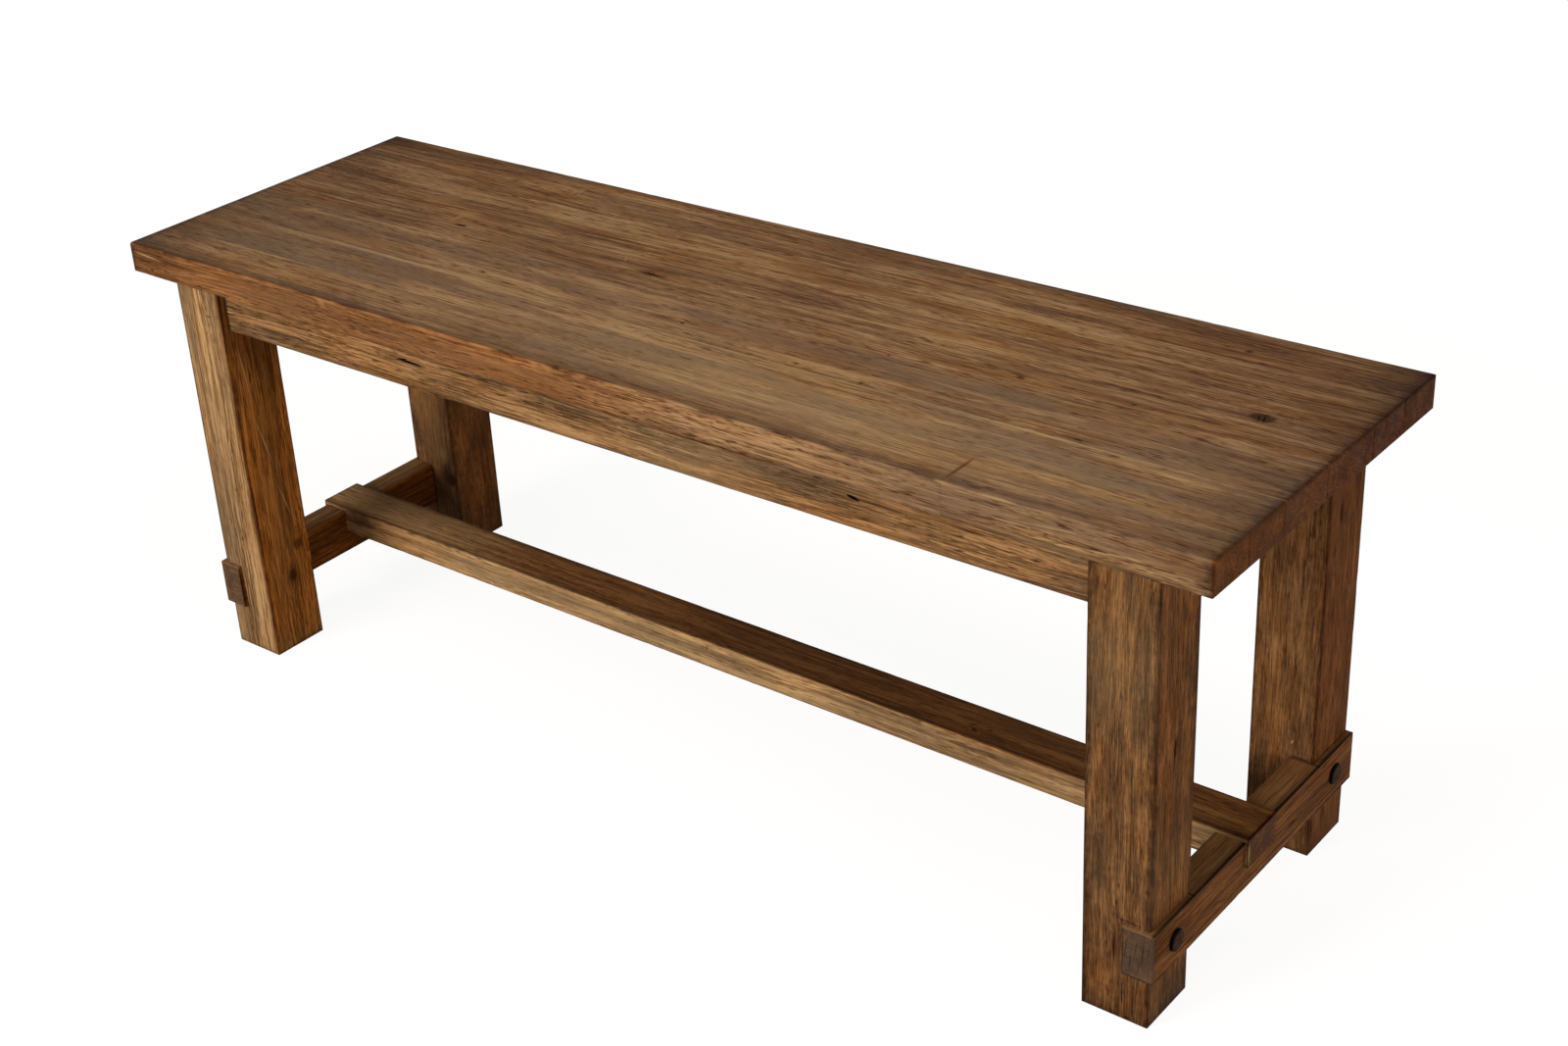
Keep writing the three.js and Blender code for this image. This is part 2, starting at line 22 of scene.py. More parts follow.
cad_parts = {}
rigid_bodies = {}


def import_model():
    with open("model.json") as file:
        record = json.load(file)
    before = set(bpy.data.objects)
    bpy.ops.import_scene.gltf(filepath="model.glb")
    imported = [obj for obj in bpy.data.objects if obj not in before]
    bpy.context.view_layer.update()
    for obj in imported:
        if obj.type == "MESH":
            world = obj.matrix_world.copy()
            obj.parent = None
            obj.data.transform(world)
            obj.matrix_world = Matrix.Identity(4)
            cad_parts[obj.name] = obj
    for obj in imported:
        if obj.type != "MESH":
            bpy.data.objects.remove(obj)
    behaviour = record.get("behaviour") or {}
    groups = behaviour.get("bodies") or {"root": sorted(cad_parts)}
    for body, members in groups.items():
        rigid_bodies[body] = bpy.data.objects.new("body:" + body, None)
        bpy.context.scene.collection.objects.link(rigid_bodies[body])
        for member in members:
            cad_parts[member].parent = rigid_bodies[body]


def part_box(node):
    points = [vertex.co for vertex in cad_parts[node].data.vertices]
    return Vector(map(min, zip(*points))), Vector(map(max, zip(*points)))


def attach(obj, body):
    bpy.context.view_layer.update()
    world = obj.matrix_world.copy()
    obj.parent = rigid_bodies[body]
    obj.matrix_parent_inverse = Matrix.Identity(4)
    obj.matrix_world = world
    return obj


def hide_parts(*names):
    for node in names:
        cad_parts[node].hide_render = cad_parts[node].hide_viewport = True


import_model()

Pair = tuple[float, float]
Triple = tuple[float, float, float]
Quad = tuple[float, float, float, float]
Signs = tuple[int, int]
Names = Mapping[str, Sequence[str]]
Sockets = Mapping[str, NodeSocket]
Adder = Callable[..., NodeSocket]

LOG = logging.getLogger("bench")
MM = 0.001
BODY = "root"
SMOOTH_ANGLE = math.radians(42)
UP = Vector((0.0, 0.0, 1.0))
# Directions in which marks are measured
X, Y, FORWARD, DOWN = (1, 0, 0), (0, 1, 0), (0, -1, 0), (0, 0, -1)
# The corners of a timber's section: 0 for the low and 1 for the high side, across and through
CORNER_SIDES = ((1, 0), (1, 1), (0, 1), (0, 0))
# The bench's corners: the words in a piece's name, and the signs of its place along X and Y
BENCH_CORNERS = {"front_left": (-1, -1), "front_right": (1, -1), "back_left": (-1, 1), "back_right": (1, 1)}
# The vertex attribute that says where the seat's worn arris is rubbed pale
RUB = "rub"
SMOOTH = {"interpolation_type": "SMOOTHSTEP"}
WHITE = (1.0, 1.0, 1.0, 1.0)
MID_GREY = (0.5, 0.5, 0.5)


# Colours, nodes and groups
def linear(code: str) -> Quad:
    """Turns an sRGB colour into the linear values that shaders read.

    Args:
        code: The colour as #rrggbb.

    Returns:
        Linear red, green and blue, and an alpha of 1.
    """
    channels = (int(code[start:start + 2], 16) / 255 for start in (1, 3, 5))
    bent = (c / 12.92 if c <= 0.04045 else ((c + 0.055) / 1.055) ** 2.4 for c in channels)
    return (*bent, 1.0)


def add_node(
    tree: NodeTree, kind: str, inputs: Mapping[int | str, Any] | Sequence[Any] = (),
    stops: Sequence[tuple[float, str]] = (), **settings: Any,
) -> NodeSocket:
    """Adds a node, with its settings, values and links.

    Args:
        tree: The node tree that gets the node.
        kind: The node's type name, without the ShaderNode that it starts with.
        inputs: What the input sockets get, in their order or by key: values, or sockets to link to.
        stops: The places and colours of a colour ramp.
        settings: The node's own properties.

    Returns:
        The node's first output that is in use.
    """
    node = tree.nodes.new(f"ShaderNode{kind}")
    for name, value in settings.items():
        setattr(node, name, value)
    for index, (place, colour) in enumerate(stops):
        elements = node.color_ramp.elements
        element = elements[index] if index < len(elements) else elements.new(place)
        element.position, element.color = place, linear(colour)
    for key, value in inputs.items() if isinstance(inputs, Mapping) else enumerate(inputs):
        if isinstance(value, NodeSocket):
            tree.links.new(value, node.inputs[key])
        else:
            node.inputs[key].default_value = value
    return next((socket for socket in node.outputs if socket.enabled), None)


def emptied(made: Material | World) -> Adder:
    """Empties the node tree of a new material or world.

    Args:
        made: The material or world.

    Returns:
        The function that adds a node to it.
    """
    made.use_nodes = True
    made.node_tree.nodes.clear()
    return partial(add_node, made.node_tree)


def new_group(name: str, inputs: Names, outputs: Names) -> tuple[NodeTree, Sockets, Sockets]:
    """Starts a shader node group.

    Args:
        name: The group's name.
        inputs: The inputs' names by kind of socket: Float or Vector.
        outputs: The same for the outputs.

    Returns:
        The group's tree, the sockets that its inputs give, and those that its outputs take.
    """
    tree = bpy.data.node_groups.new(name, "ShaderNodeTree")
    for side, kinds in (("INPUT", inputs), ("OUTPUT", outputs)):
        for kind, sockets in kinds.items():
            for socket in sockets:
                tree.interface.new_socket(socket, in_out=side, socket_type=f"NodeSocket{kind}")
    return tree, tree.nodes.new("NodeGroupInput").outputs, tree.nodes.new("NodeGroupOutput").inputs


# The wood's figure, in real sizes
@dataclass(frozen=True)
class FigureSizes:
    """Sizes of the grain's patterns: along the grain and across it, with detail and roughness."""

    waver: Quad = (230.0, 42.0, 2.0, 0.5)
    waver_swing: float = 12.0
    # A vessel is 0.2 to 0.3 mm wide, drawn 1 to 1.5 mm wide so that it still shows from two metres
    fibre: Quad = (85.0, 1.4, 3.0, 0.7)
    streak: Quad = (210.0, 6.5, 4.0, 0.6)
    pore: Quad = (15.0, 0.95, 1.0, 0.5)
    blotch: Quad = (210.0, 28.0, 3.0, 0.6)
    ripple: Quad = (4.2, 15.0, 2.0, 0.5)
    ring_line: float = 1.7
    # Takes the orange patches away from the grey ones
    glow_shift: Triple = (400.0, 70.0, 0.0)


@dataclass(frozen=True)
class FigureWeights:
    """How much each pattern counts in the wood's tone, and at which levels the patchy ones show."""

    rings: float = 0.5
    ring_lines: float = 0.35
    fibre: float = 2.1
    streak: float = 0.5
    blotch: float = 1.1
    ripple: float = 0.12
    pore_levels: Pair = (0.54, 0.63)
    # Pores thin out in the pale belts between streaks
    belt_levels: Quad = (0.60, 0.42, 0.25, 1.0)
    wash_levels: Pair = (0.66, 0.36)
    glow_levels: Pair = (0.46, 0.66)
    fibre_height: float = 0.5
    pore_height: float = -0.7


# Wood cut nearer the tree's heart: short pores and soft patches, with hardly a line
MOTTLED_SIZES = FigureSizes(
    fibre=(34.0, 1.2, 3.0, 0.7), streak=(110.0, 5.5, 4.0, 0.6), pore=(11.0, 0.8, 1.0, 0.5),
    blotch=(55.0, 19.0, 3.0, 0.6))
MOTTLED_WEIGHTS = FigureWeights(rings=0.35, ring_lines=0.2, fibre=1.8, streak=0.45, blotch=1.15, ripple=0.25)


class GrainFigure:
    """The figure of the hardwood as a node group: growth rings round a pith, streaks and pores."""

    FOUND = ("Tone", "Pore", "Wash", "Glow", "Height", "Ripple")

    def __init__(self, sizes: FigureSizes, weights: FigureWeights) -> None:
        """Builds the group.

        Args:
            sizes: The patterns' sizes.
            weights: How much each counts.
        """
        self.sizes, self.weights = sizes, weights
        self.tree, self.given, self.result = new_group(
            "hardwood figure",
            {"Vector": ("Grain", "Seed", "Pith", "Lean"), "Float": ("Ring Width", "Lift")},
            {"Float": self.FOUND},
        )
        self.add = partial(add_node, self.tree)
        self._build()

    def _field(self, name: str, source: NodeSocket) -> NodeSocket:
        """Adds one of the named patterns, stretched along the grain.

        Args:
            name: The pattern's name among the sizes.
            source: Grain coordinates.

        Returns:
            The pattern's value, from 0 to 1.
        """
        along, across, detail, rough = getattr(self.sizes, name)
        scaled = self.add("VectorMath", (source, (1 / along, 1 / across, 1 / across)), operation="MULTIPLY")
        return self.add("TexNoise", {"Vector": scaled, "Scale": 1.0, "Detail": detail, "Roughness": rough})

    def _ring_distance(self, grain: NodeSocket) -> NodeSocket:
        """Finds how far a point lies from the pith, which leans a little along the timber.

        Args:
            grain: Wavering grain coordinates.

        Returns:
            The distance, with the knots' lift.
        """
        add, given = self.add, self.given
        leaning = add("VectorMath", {0: given["Lean"], "Scale": add("SeparateXYZ", (grain,))}, operation="SCALE")
        pith = add("VectorMath", (given["Pith"], leaning), operation="ADD")
        offset = add("VectorMath", (grain, pith), operation="SUBTRACT")
        flat = add("VectorMath", (offset, (0.0, 1.0, 1.0)), operation="MULTIPLY")
        reach = add("VectorMath", (flat,), operation="LENGTH").node.outputs["Value"]
        return add("Math", (reach, given["Lift"]), operation="ADD")

    def _build(self) -> None:
        """Builds the group's nodes."""
        add, given, sizes, weights = self.add, self.given, self.sizes, self.weights
        start = add("VectorMath", (given["Grain"], given["Seed"]), operation="ADD")
        waver = self._field("waver", start).node.outputs["Color"]
        centred = add("VectorMath", (waver, MID_GREY), operation="SUBTRACT")
        swing = add("VectorMath", (centred, (0.0, sizes.waver_swing, sizes.waver_swing)), operation="MULTIPLY")
        here = add("VectorMath", (given["Grain"], swing), operation="ADD")
        seeded = add("VectorMath", (start, swing), operation="ADD")
        distance = self._ring_distance(here)
        turn = add("Math", (distance, given["Ring Width"]), operation="DIVIDE")
        turn = add("Math", (turn, add("SeparateXYZ", (given["Seed"],))), operation="ADD")
        fine = add("Math", (distance, 1 / sizes.ring_line), operation="MULTIPLY")
        rings = {"W": turn, "Scale": 1.0, "Detail": 2.0, "Roughness": 0.6}
        patterns = {
            "rings": add("TexNoise", rings, noise_dimensions="1D"),
            "ring_lines": add("TexNoise", {"W": fine, "Scale": 1.0, "Detail": 1.0}, noise_dimensions="1D"),
            **{name: self._field(name, seeded) for name in ("fibre", "streak", "blotch", "ripple")},
        }
        tone = 0.5 - 0.5 * sum(getattr(weights, name) for name in patterns)
        for name, pattern in patterns.items():
            tone = add("Math", (pattern, getattr(weights, name), tone), operation="MULTIPLY_ADD")
        pore = add("MapRange", (self._field("pore", seeded), *weights.pore_levels))
        belt = add("MapRange", (patterns["streak"], *weights.belt_levels))
        pore = add("Math", (pore, belt), operation="MULTIPLY")
        wash = add("MapRange", (patterns["blotch"], *weights.wash_levels), **SMOOTH)
        glow = self._field("blotch", add("VectorMath", (seeded, sizes.glow_shift), operation="ADD"))
        glow = add("MapRange", (glow, *weights.glow_levels), **SMOOTH)
        height = add("Math", (patterns["fibre"], weights.fibre_height, tone), operation="MULTIPLY_ADD")
        height = add("Math", (pore, weights.pore_height, height), operation="MULTIPLY_ADD")
        for name, value in zip(self.FOUND, (tone, pore, wash, glow, height, patterns["ripple"])):
            self.tree.links.new(value, self.result[name])


@cache
def grain_figure(mottled: bool) -> NodeTree:
    """Gives the figure's node group: with long lines, or mottled."""
    return GrainFigure(*((MOTTLED_SIZES, MOTTLED_WEIGHTS) if mottled else (FigureSizes(), FigureWeights()))).tree


@cache
def mark_mask() -> NodeTree:
    """Builds the node group that covers one mark: 1 at its middle and 0 outside it.

    Returns:
        The group's tree.
    """
    tree, given, result = new_group(
        "mark mask",
        {"Vector": ("Position", "Wobble", "Centre", "Reach", "Axis"), "Float": ("Angle", "Wobble Share", "Soft")},
        {"Float": ("Mask",)},
    )
    add = partial(add_node, tree)
    offset = add("VectorMath", (given["Position"], given["Centre"]), operation="SUBTRACT")
    turned = add("VectorRotate", {"Vector": offset, "Axis": given["Axis"], "Angle": given["Angle"]},
                 rotation_type="AXIS_ANGLE")
    scaled = add("VectorMath", (turned, given["Reach"]), operation="MULTIPLY")
    wobble = add("VectorMath", {0: given["Wobble"], "Scale": given["Wobble Share"]}, operation="SCALE")
    bent = add("VectorMath", (scaled, wobble), operation="ADD")
    distance = add("VectorMath", (bent,), operation="LENGTH").node.outputs["Value"]
    inner = add("Math", (1.0, given["Soft"]), operation="SUBTRACT")
    tree.links.new(add("MapRange", (distance, 1.0, inner), **SMOOTH), result["Mask"])
    return tree


@cache
def arris_distance() -> NodeTree:
    """Builds the node group that says how far a point on a timber's face is from the nearest arris.

    The point lies on the nearest face, so the middle one of its three distances to the form's faces is
    the distance to the arris.

    Returns:
        The group's tree.
    """
    tree, given, result = new_group(
        "arris distance", {"Vector": ("Position", "Centre", "Half")}, {"Float": ("Arris",), "Vector": ("Depths",)})
    add = partial(add_node, tree)
    offset = add("VectorMath", (given["Position"], given["Centre"]), operation="SUBTRACT")
    offset = add("VectorMath", (offset,), operation="ABSOLUTE")
    depths = add("VectorMath", (given["Half"], offset), operation="SUBTRACT")
    parts = add("SeparateXYZ", (depths,)).node.outputs
    ends = {}
    for operation in ("MINIMUM", "MAXIMUM", "ADD"):
        first = add("Math", (parts[0], parts[1]), operation=operation)
        ends[operation] = add("Math", (first, parts[2]), operation=operation)
    rest = add("Math", (ends["ADD"], ends["MINIMUM"]), operation="SUBTRACT")
    middle = add("Math", (rest, ends["MAXIMUM"]), operation="SUBTRACT")
    tree.links.new(middle, result["Arris"])
    tree.links.new(depths, result["Depths"])
    return tree


# Marks in the wood
@dataclass(frozen=True)
class MarkLook:
    """How one kind of mark looks: its colour, how far that covers the wood, and how uneven its outline is.

    Attributes:
        soft: The share of its reach over which it fades.
        relief: Its depth, made in the mesh.
        lift: How far it pushes the growth rings aside.
        lift_stretch: How many times its reach that push spreads along the grain, and across it.
        blend: MIX covers the wood, MULTIPLY tints it and keeps the grain.
    """

    colour: str
    cover: float
    soft: float
    wobble: float
    relief: float = 0.0
    lift: float = 0.0
    lift_stretch: Pair = (4.2, 1.9)
    blend: str = "MIX"


class MarkKind(Enum):
    """The kinds of mark that this wood has."""

    KNOT = MarkLook("#2b1a10", 0.85, 0.55, 0.45, 0.25, 16.0)
    RED_KNOT = MarkLook("#401c08", 0.75, 0.9, 0.4, 0.1, 10.0)
    CRACK = MarkLook("#0f0a07", 1.0, 0.45, 0.5, 1.5)
    SPECK = MarkLook("#38200f", 0.8, 0.8, 0.6, 0.3, 2.5)
    STREAK = MarkLook("#40281a", 0.6, 1.0, 0.5)
    PALE = MarkLook("#c4a678", 0.5, 1.0, 0.4)
    SWIRL = MarkLook("#6b4a2c", 0.0, 1.0, 0.3, 0.0, 34.0, (1.0, 1.0))
    # Where hands and cloths have rubbed the oil in, the stain is deeper and a little cooler; the same darkening is
    # also painted shade, on faces and corners that lie in shade
    BURNISH = MarkLook("#b5b1ba", 1.0, 1.0, 0.25, blend="MULTIPLY")
    # Heartwood that took the stain as a deep orange brown; on the faces towards +X and on the long stretcher's top
    # under the seat it is a painted warm shade
    FLAME = MarkLook("#edbf80", 1.0, 0.25, 0.2, blend="MULTIPLY")
    # Sawn end grain, dusty and grey
    GREY = MarkLook("#66574a", 0.62, 0.15, 0.2)
    # Where shoes and cloths have worn the stain thin; on the end stretchers' tops under the seat it is painted light
    FADED = MarkLook("#b0824e", 1.0, 0.35, 0.3)
    # Dirt and wax that settled along an arris, and dark lines in end grain; the dark lines in joints and gaps, under
    # the seat's edge and round the bolt heads are painted shade
    GRIME = MarkLook("#544c56", 1.0, 0.8, 0.25, blend="MULTIPLY")
    # Glue that squeezed out of a butt joint and took the stain
    GLUE = MarkLook("#64391f", 0.75, 0.7, 0.15)


KNOT, RED_KNOT, CRACK, SPECK, STREAK, PALE, SWIRL, BURNISH, FLAME, GREY, FADED, GRIME, GLUE = MarkKind


@dataclass(frozen=True)
class Mark:
    """One mark at a place in the bench's frame: its middle and, before it is turned by some degrees
    about its axis, its half sizes, and a factor on its kind's cover."""

    kind: MarkKind
    place: Triple
    reach: Triple
    axis: Triple
    turn: float
    strength: float

    def depth_at(self, place: Vector) -> float:
        """Finds how deep the mark is cut at a place.

        Args:
            place: A place on the surface.

        Returns:
            The depth.
        """
        relief = self.kind.value.relief
        if not relief:
            return 0.0
        offset = Matrix.Rotation(math.radians(-self.turn), 3, self.axis) @ (place - Vector(self.place))
        distance = math.sqrt(sum((o / r) ** 2 for o, r in zip(offset, self.reach)))
        rise = max(0.0, min(1.0, 1.2 * (1.0 - distance)))
        return relief * rise * rise * (3 - 2 * rise)


@dataclass(frozen=True)
class Face:
    """A face of the bench that marks are measured on, from one of its corners and in two directions.
    They go a depth through the wood."""

    corner: Triple
    along: tuple[int, int, int]
    down: tuple[int, int, int]
    through: float = 5.0

    def __call__(
        self, kind: MarkKind, along: float, down: float, half_along: float, half_down: float,
        strength: float = 1.0, turn: float = 0.0,
    ) -> Mark:
        """Places a mark on the face.

        Args:
            kind: Its kind.
            along: The first measure of its middle.
            down: The second measure.
            half_along: Its half size along the first direction.
            half_down: Its half size along the second.
            strength: A factor on its kind's cover.
            turn: Its turn towards the second direction, in degrees.

        Returns:
            The mark.
        """
        first, second = Vector(self.along), Vector(self.down)
        place = Vector(self.corner) + first * along + second * down
        normal = first.cross(second)
        reach = [abs(a) * half_along + abs(d) * half_down + abs(n) * self.through
                 for a, d, n in zip(first, second, normal)]
        return Mark(kind, tuple(place), tuple(reach), tuple(normal), turn, strength)


# Finishes
class Grain(Enum):
    """Which way a timber's grain runs: the frame's axes along, across and through it."""

    ALONG_X = (0, 1, 2)
    ALONG_Y = (1, 2, 0)
    ALONG_Z = (2, 0, 1)

    def local(self, place: Sequence[float]) -> Vector:
        """Puts a place or size in the frame into the order along, across and through."""
        return Vector([place[axis] for axis in self.value])

    def world(self, place: Sequence[float]) -> Vector:
        """Puts a place in the order along, across and through back into the frame."""
        return Vector([place[self.value.index(axis)] for axis in range(3)])


@dataclass(frozen=True)
class Stain:
    """Colours of the stained and oiled wood: open pores, dark grain, light grain, the palest fibre,
    and the dusty grey brown where the stain stayed on the surface."""

    deep: str
    brown: str
    gold: str
    pale: str
    grey: str


# Acacia stained walnut brown and oiled: a dull satin, with dark open pores and honey between them
SEAT_STAIN = Stain("#472b19", "#734e32", "#9d7750", "#b7936a", "#836c55")
RAIL_STAIN = Stain("#422b19", "#684a2d", "#956f48", "#b28b5f", "#7d6c57")
LIGHT_STAIN = Stain("#583e24", "#7e5d39", "#aa8458", "#c6a070", "#8f7a60")
POST_STAIN = Stain("#3a2413", "#5a3b23", "#7c5736", "#926b44", "#63533f")
BLOCK_STAIN = Stain("#6b4d2f", "#94714a", "#b08c5f", "#cdae80", "#a08d72")


@dataclass(frozen=True)
class StainedWood:
    """One timber's wood: the stain it took and how it was sawn from the tree.

    Attributes:
        pith: Where the heart of the tree lies, across and through the timber from its middle.
        lean: How the heart drifts across and through for each mm along it.
        tone: Lightens or darkens it, as a share of the ramp.
        contrast: A factor on its figure.
        wash: How grey its stain went in patches.
        burnish: How wide the darkened arrises are.
        burnish_cover: How dark they are.
        end_reach: How far in from its ends the stain is darker.
        rub: How pale the rubbed line is, where the mesh has one.
        end_cover: How dark its ends are.
        glow: How orange it is in patches.
        mottled: True for soft patches and short pores in place of long lines.
    """

    stain: Stain
    seed: int
    pith: Pair
    lean: Pair = (0.02, 0.03)
    ring_width: float = 9.0
    tone: float = 0.0
    contrast: float = 1.0
    wash: float = 0.35
    burnish: float = 6.0
    burnish_cover: float = 0.6
    end_reach: float = 10.0
    marks: tuple[Mark, ...] = ()
    rub: float = 0.0
    end_cover: float = 0.85
    glow: float = 0.5
    mottled: bool = False


@dataclass(frozen=True)
class WoodSurface:
    """What the oiled surface gives the eye, whichever timber it is on.

    Attributes:
        ramp: Where the stain's colours lie on the scale of tone.
        worn_tint: What oil and handling make of the colour at an arris: darker, and a little cooler.
        roughness: Levels of the ripple left by the plane, and the roughness at each.
        worn_gloss: What burnishing adds to the roughness.
        bump: Strength and height in metres of the open grain.
        gloss: Index of refraction and specular level of the oil, which has nearly all sunk in.
        uneven: Frequency for each mm of the outlines' wobble, and of the patches in the wear.
        patch_levels: Levels of those patches, and the factor on the wear's width at each.
        ragged: How far the wobble shifts the wear's edge, as a share of its width.
        wear_power: How steeply the wear falls off.
    """

    ramp: Quad = (0.04, 0.28, 0.70, 0.97)
    pore_cover: float = 0.9
    worn_tint: str = "#9b98a4"
    glow_tint: str = "#f2d0a0"
    roughness: Quad = (0.25, 0.75, 0.48, 0.64)
    worn_gloss: float = -0.14
    bump: Pair = (0.7, 0.35 * MM)
    gloss: Pair = (1.5, 0.008)
    uneven: Pair = (0.17, 0.035)
    patch_levels: Quad = (0.3, 0.7, 0.5, 1.35)
    ragged: float = 0.9
    wear_power: float = 1.6


class WoodCoat:
    """The material of one timber, built up in layers."""

    def __init__(
        self, name: str, wood: StainedWood, grain: Grain, form: Sequence[Vector], surface: WoodSurface = WoodSurface()
    ) -> None:
        """Starts the material.

        Args:
            name: Its name.
            wood: The timber's wood.
            grain: Which way its grain runs.
            form: The corners of the form whose arrises are worn.
            surface: Its oiled surface.
        """
        self.wood, self.grain, self.surface = wood, grain, surface
        self.centre, self.half = (form[0] + form[1]) / 2, (form[1] - form[0]) / 2
        self.made = bpy.data.materials.new(name)
        self.add = add = emptied(self.made)
        metres = add("TexCoord").node.outputs["Object"]
        self.position = add("VectorMath", {0: metres, "Scale": 1 / MM}, operation="SCALE")
        uneven = add("TexNoise", {"Vector": self.position, "Scale": surface.uneven[0], "Detail": 2.0})
        self.wobble = add("VectorMath", (uneven.node.outputs["Color"], MID_GREY), operation="SUBTRACT")

    def _mask(self, mark: Mark, soft: float | None = None) -> NodeSocket:
        """Adds the mask of one mark.

        Args:
            mark: The mark.
            soft: The share over which it fades, if not its kind's own.

        Returns:
            The mask, from 0 to 1.
        """
        look = mark.kind.value
        return self.add("Group", {
            "Position": self.position, "Wobble": self.wobble, "Centre": mark.place,
            "Reach": tuple(1 / r for r in mark.reach), "Axis": mark.axis, "Angle": math.radians(-mark.turn),
            "Wobble Share": look.wobble, "Soft": look.soft if soft is None else soft,
        }, node_tree=mark_mask())

    def _figure(self) -> Sockets:
        """Adds the grain's figure, with its rings bent round the knots.

        Returns:
            The figure's outputs by name.
        """
        add, wood = self.add, self.wood
        local = add("VectorMath", (self.position, tuple(self.centre)), operation="SUBTRACT")
        parts = add("SeparateXYZ", (local,)).node.outputs
        lift: Any = 0.0
        for mark in wood.marks:
            look = mark.kind.value
            if look.lift:
                stretch = [look.lift_stretch[axis != self.grain.value[0]] for axis in range(3)]
                wide = replace(mark, reach=tuple(r * s for r, s in zip(mark.reach, stretch)))
                lift = add("Math", (self._mask(wide, 1.0), look.lift, lift), operation="MULTIPLY_ADD")
        return add("Group", {
            "Grain": add("CombineXYZ", [parts[axis] for axis in self.grain.value]),
            "Seed": (37.3 * wood.seed, 91.7 * wood.seed, 53.9 * wood.seed), "Pith": (0.0, *wood.pith),
            "Lean": (0.0, *wood.lean), "Ring Width": wood.ring_width, "Lift": lift,
        }, node_tree=grain_figure(wood.mottled)).node.outputs

    def _worn(self) -> NodeSocket:
        """Adds the darkening of burnished arrises and thirsty ends.

        Returns:
            How dark the wood is worn, from 0 to 1.
        """
        add, wood, surface = self.add, self.wood, self.surface
        found = add("Group", {"Position": self.position, "Centre": tuple(self.centre), "Half": tuple(self.half)},
                    node_tree=arris_distance()).node.outputs
        patch = add("TexNoise", {"Vector": self.position, "Scale": surface.uneven[1], "Detail": 2.0})
        spread_out = add("MapRange", (patch, *surface.patch_levels))
        ragged = add("SeparateXYZ", (self.wobble,))
        depth = add("SeparateXYZ", (found["Depths"],)).node.outputs[self.grain.value[0]]
        masks = []
        for distance, reach, cover in (
            (found["Arris"], wood.burnish, wood.burnish_cover), (depth, wood.end_reach, wood.end_cover),
        ):
            width = add("Math", (spread_out, reach), operation="MULTIPLY")
            rough = add("Math", (ragged, reach * surface.ragged, distance), operation="MULTIPLY_ADD")
            mask = add("MapRange", (rough, width, 0.0), **SMOOTH)
            mask = add("Math", (mask, surface.wear_power), operation="POWER")
            masks.append(add("Math", (mask, cover), operation="MULTIPLY"))
        return add("Math", masks, operation="MAXIMUM")

    def build(self) -> Material:
        """Lays on the stain, its patches, the pores, the wear and the marks.

        Returns:
            The material.
        """
        add, wood, surface, stain = self.add, self.wood, self.surface, self.wood.stain
        figure, worn = self._figure(), self._worn()
        centre = 0.5 - 0.5 * wood.contrast + wood.tone
        tone = add("Math", (figure["Tone"], wood.contrast, centre), operation="MULTIPLY_ADD")
        colours = (stain.deep, stain.brown, stain.gold, stain.pale)
        colour = add("ValToRGB", (tone,), tuple(zip(surface.ramp, colours)))
        layers = [
            (figure["Wash"], wood.wash, stain.grey, "MIX"),
            (figure["Glow"], wood.glow, surface.glow_tint, "MULTIPLY"),
            (figure["Pore"], surface.pore_cover, stain.deep, "MIX"),
            (worn, 1.0, surface.worn_tint, "MULTIPLY"),
        ]
        if wood.rub:
            line = add("Attribute", attribute_name=RUB).node.outputs["Fac"]
            layers.append((line, wood.rub, stain.pale, "MIX"))
        height = figure["Height"]
        for mark in wood.marks:
            look = mark.kind.value
            if look.cover:
                mask = self._mask(mark)
                layers.append((mask, look.cover * mark.strength, look.colour, look.blend))
                if look.relief:
                    height = add("Math", (mask, -look.relief, height), operation="MULTIPLY_ADD")
        for mask, cover, tint, blend in layers:
            share = add("Math", (mask, cover), operation="MULTIPLY")
            colour = add("Mix", {0: share, 6: colour, 7: linear(tint)}, data_type="RGBA", blend_type=blend)
        rough = add("MapRange", (figure["Ripple"], *surface.roughness))
        rough = add("Math", (worn, surface.worn_gloss, rough), operation="MULTIPLY_ADD")
        bump = add("Bump", {"Height": height, "Strength": surface.bump[0], "Distance": surface.bump[1]})
        shader = add("BsdfPrincipled", {
            "Base Color": colour, "Roughness": rough, "Normal": bump, "IOR": surface.gloss[0],
            "Specular IOR Level": surface.gloss[1]})
        add("OutputMaterial", {"Surface": shader})
        return self.made


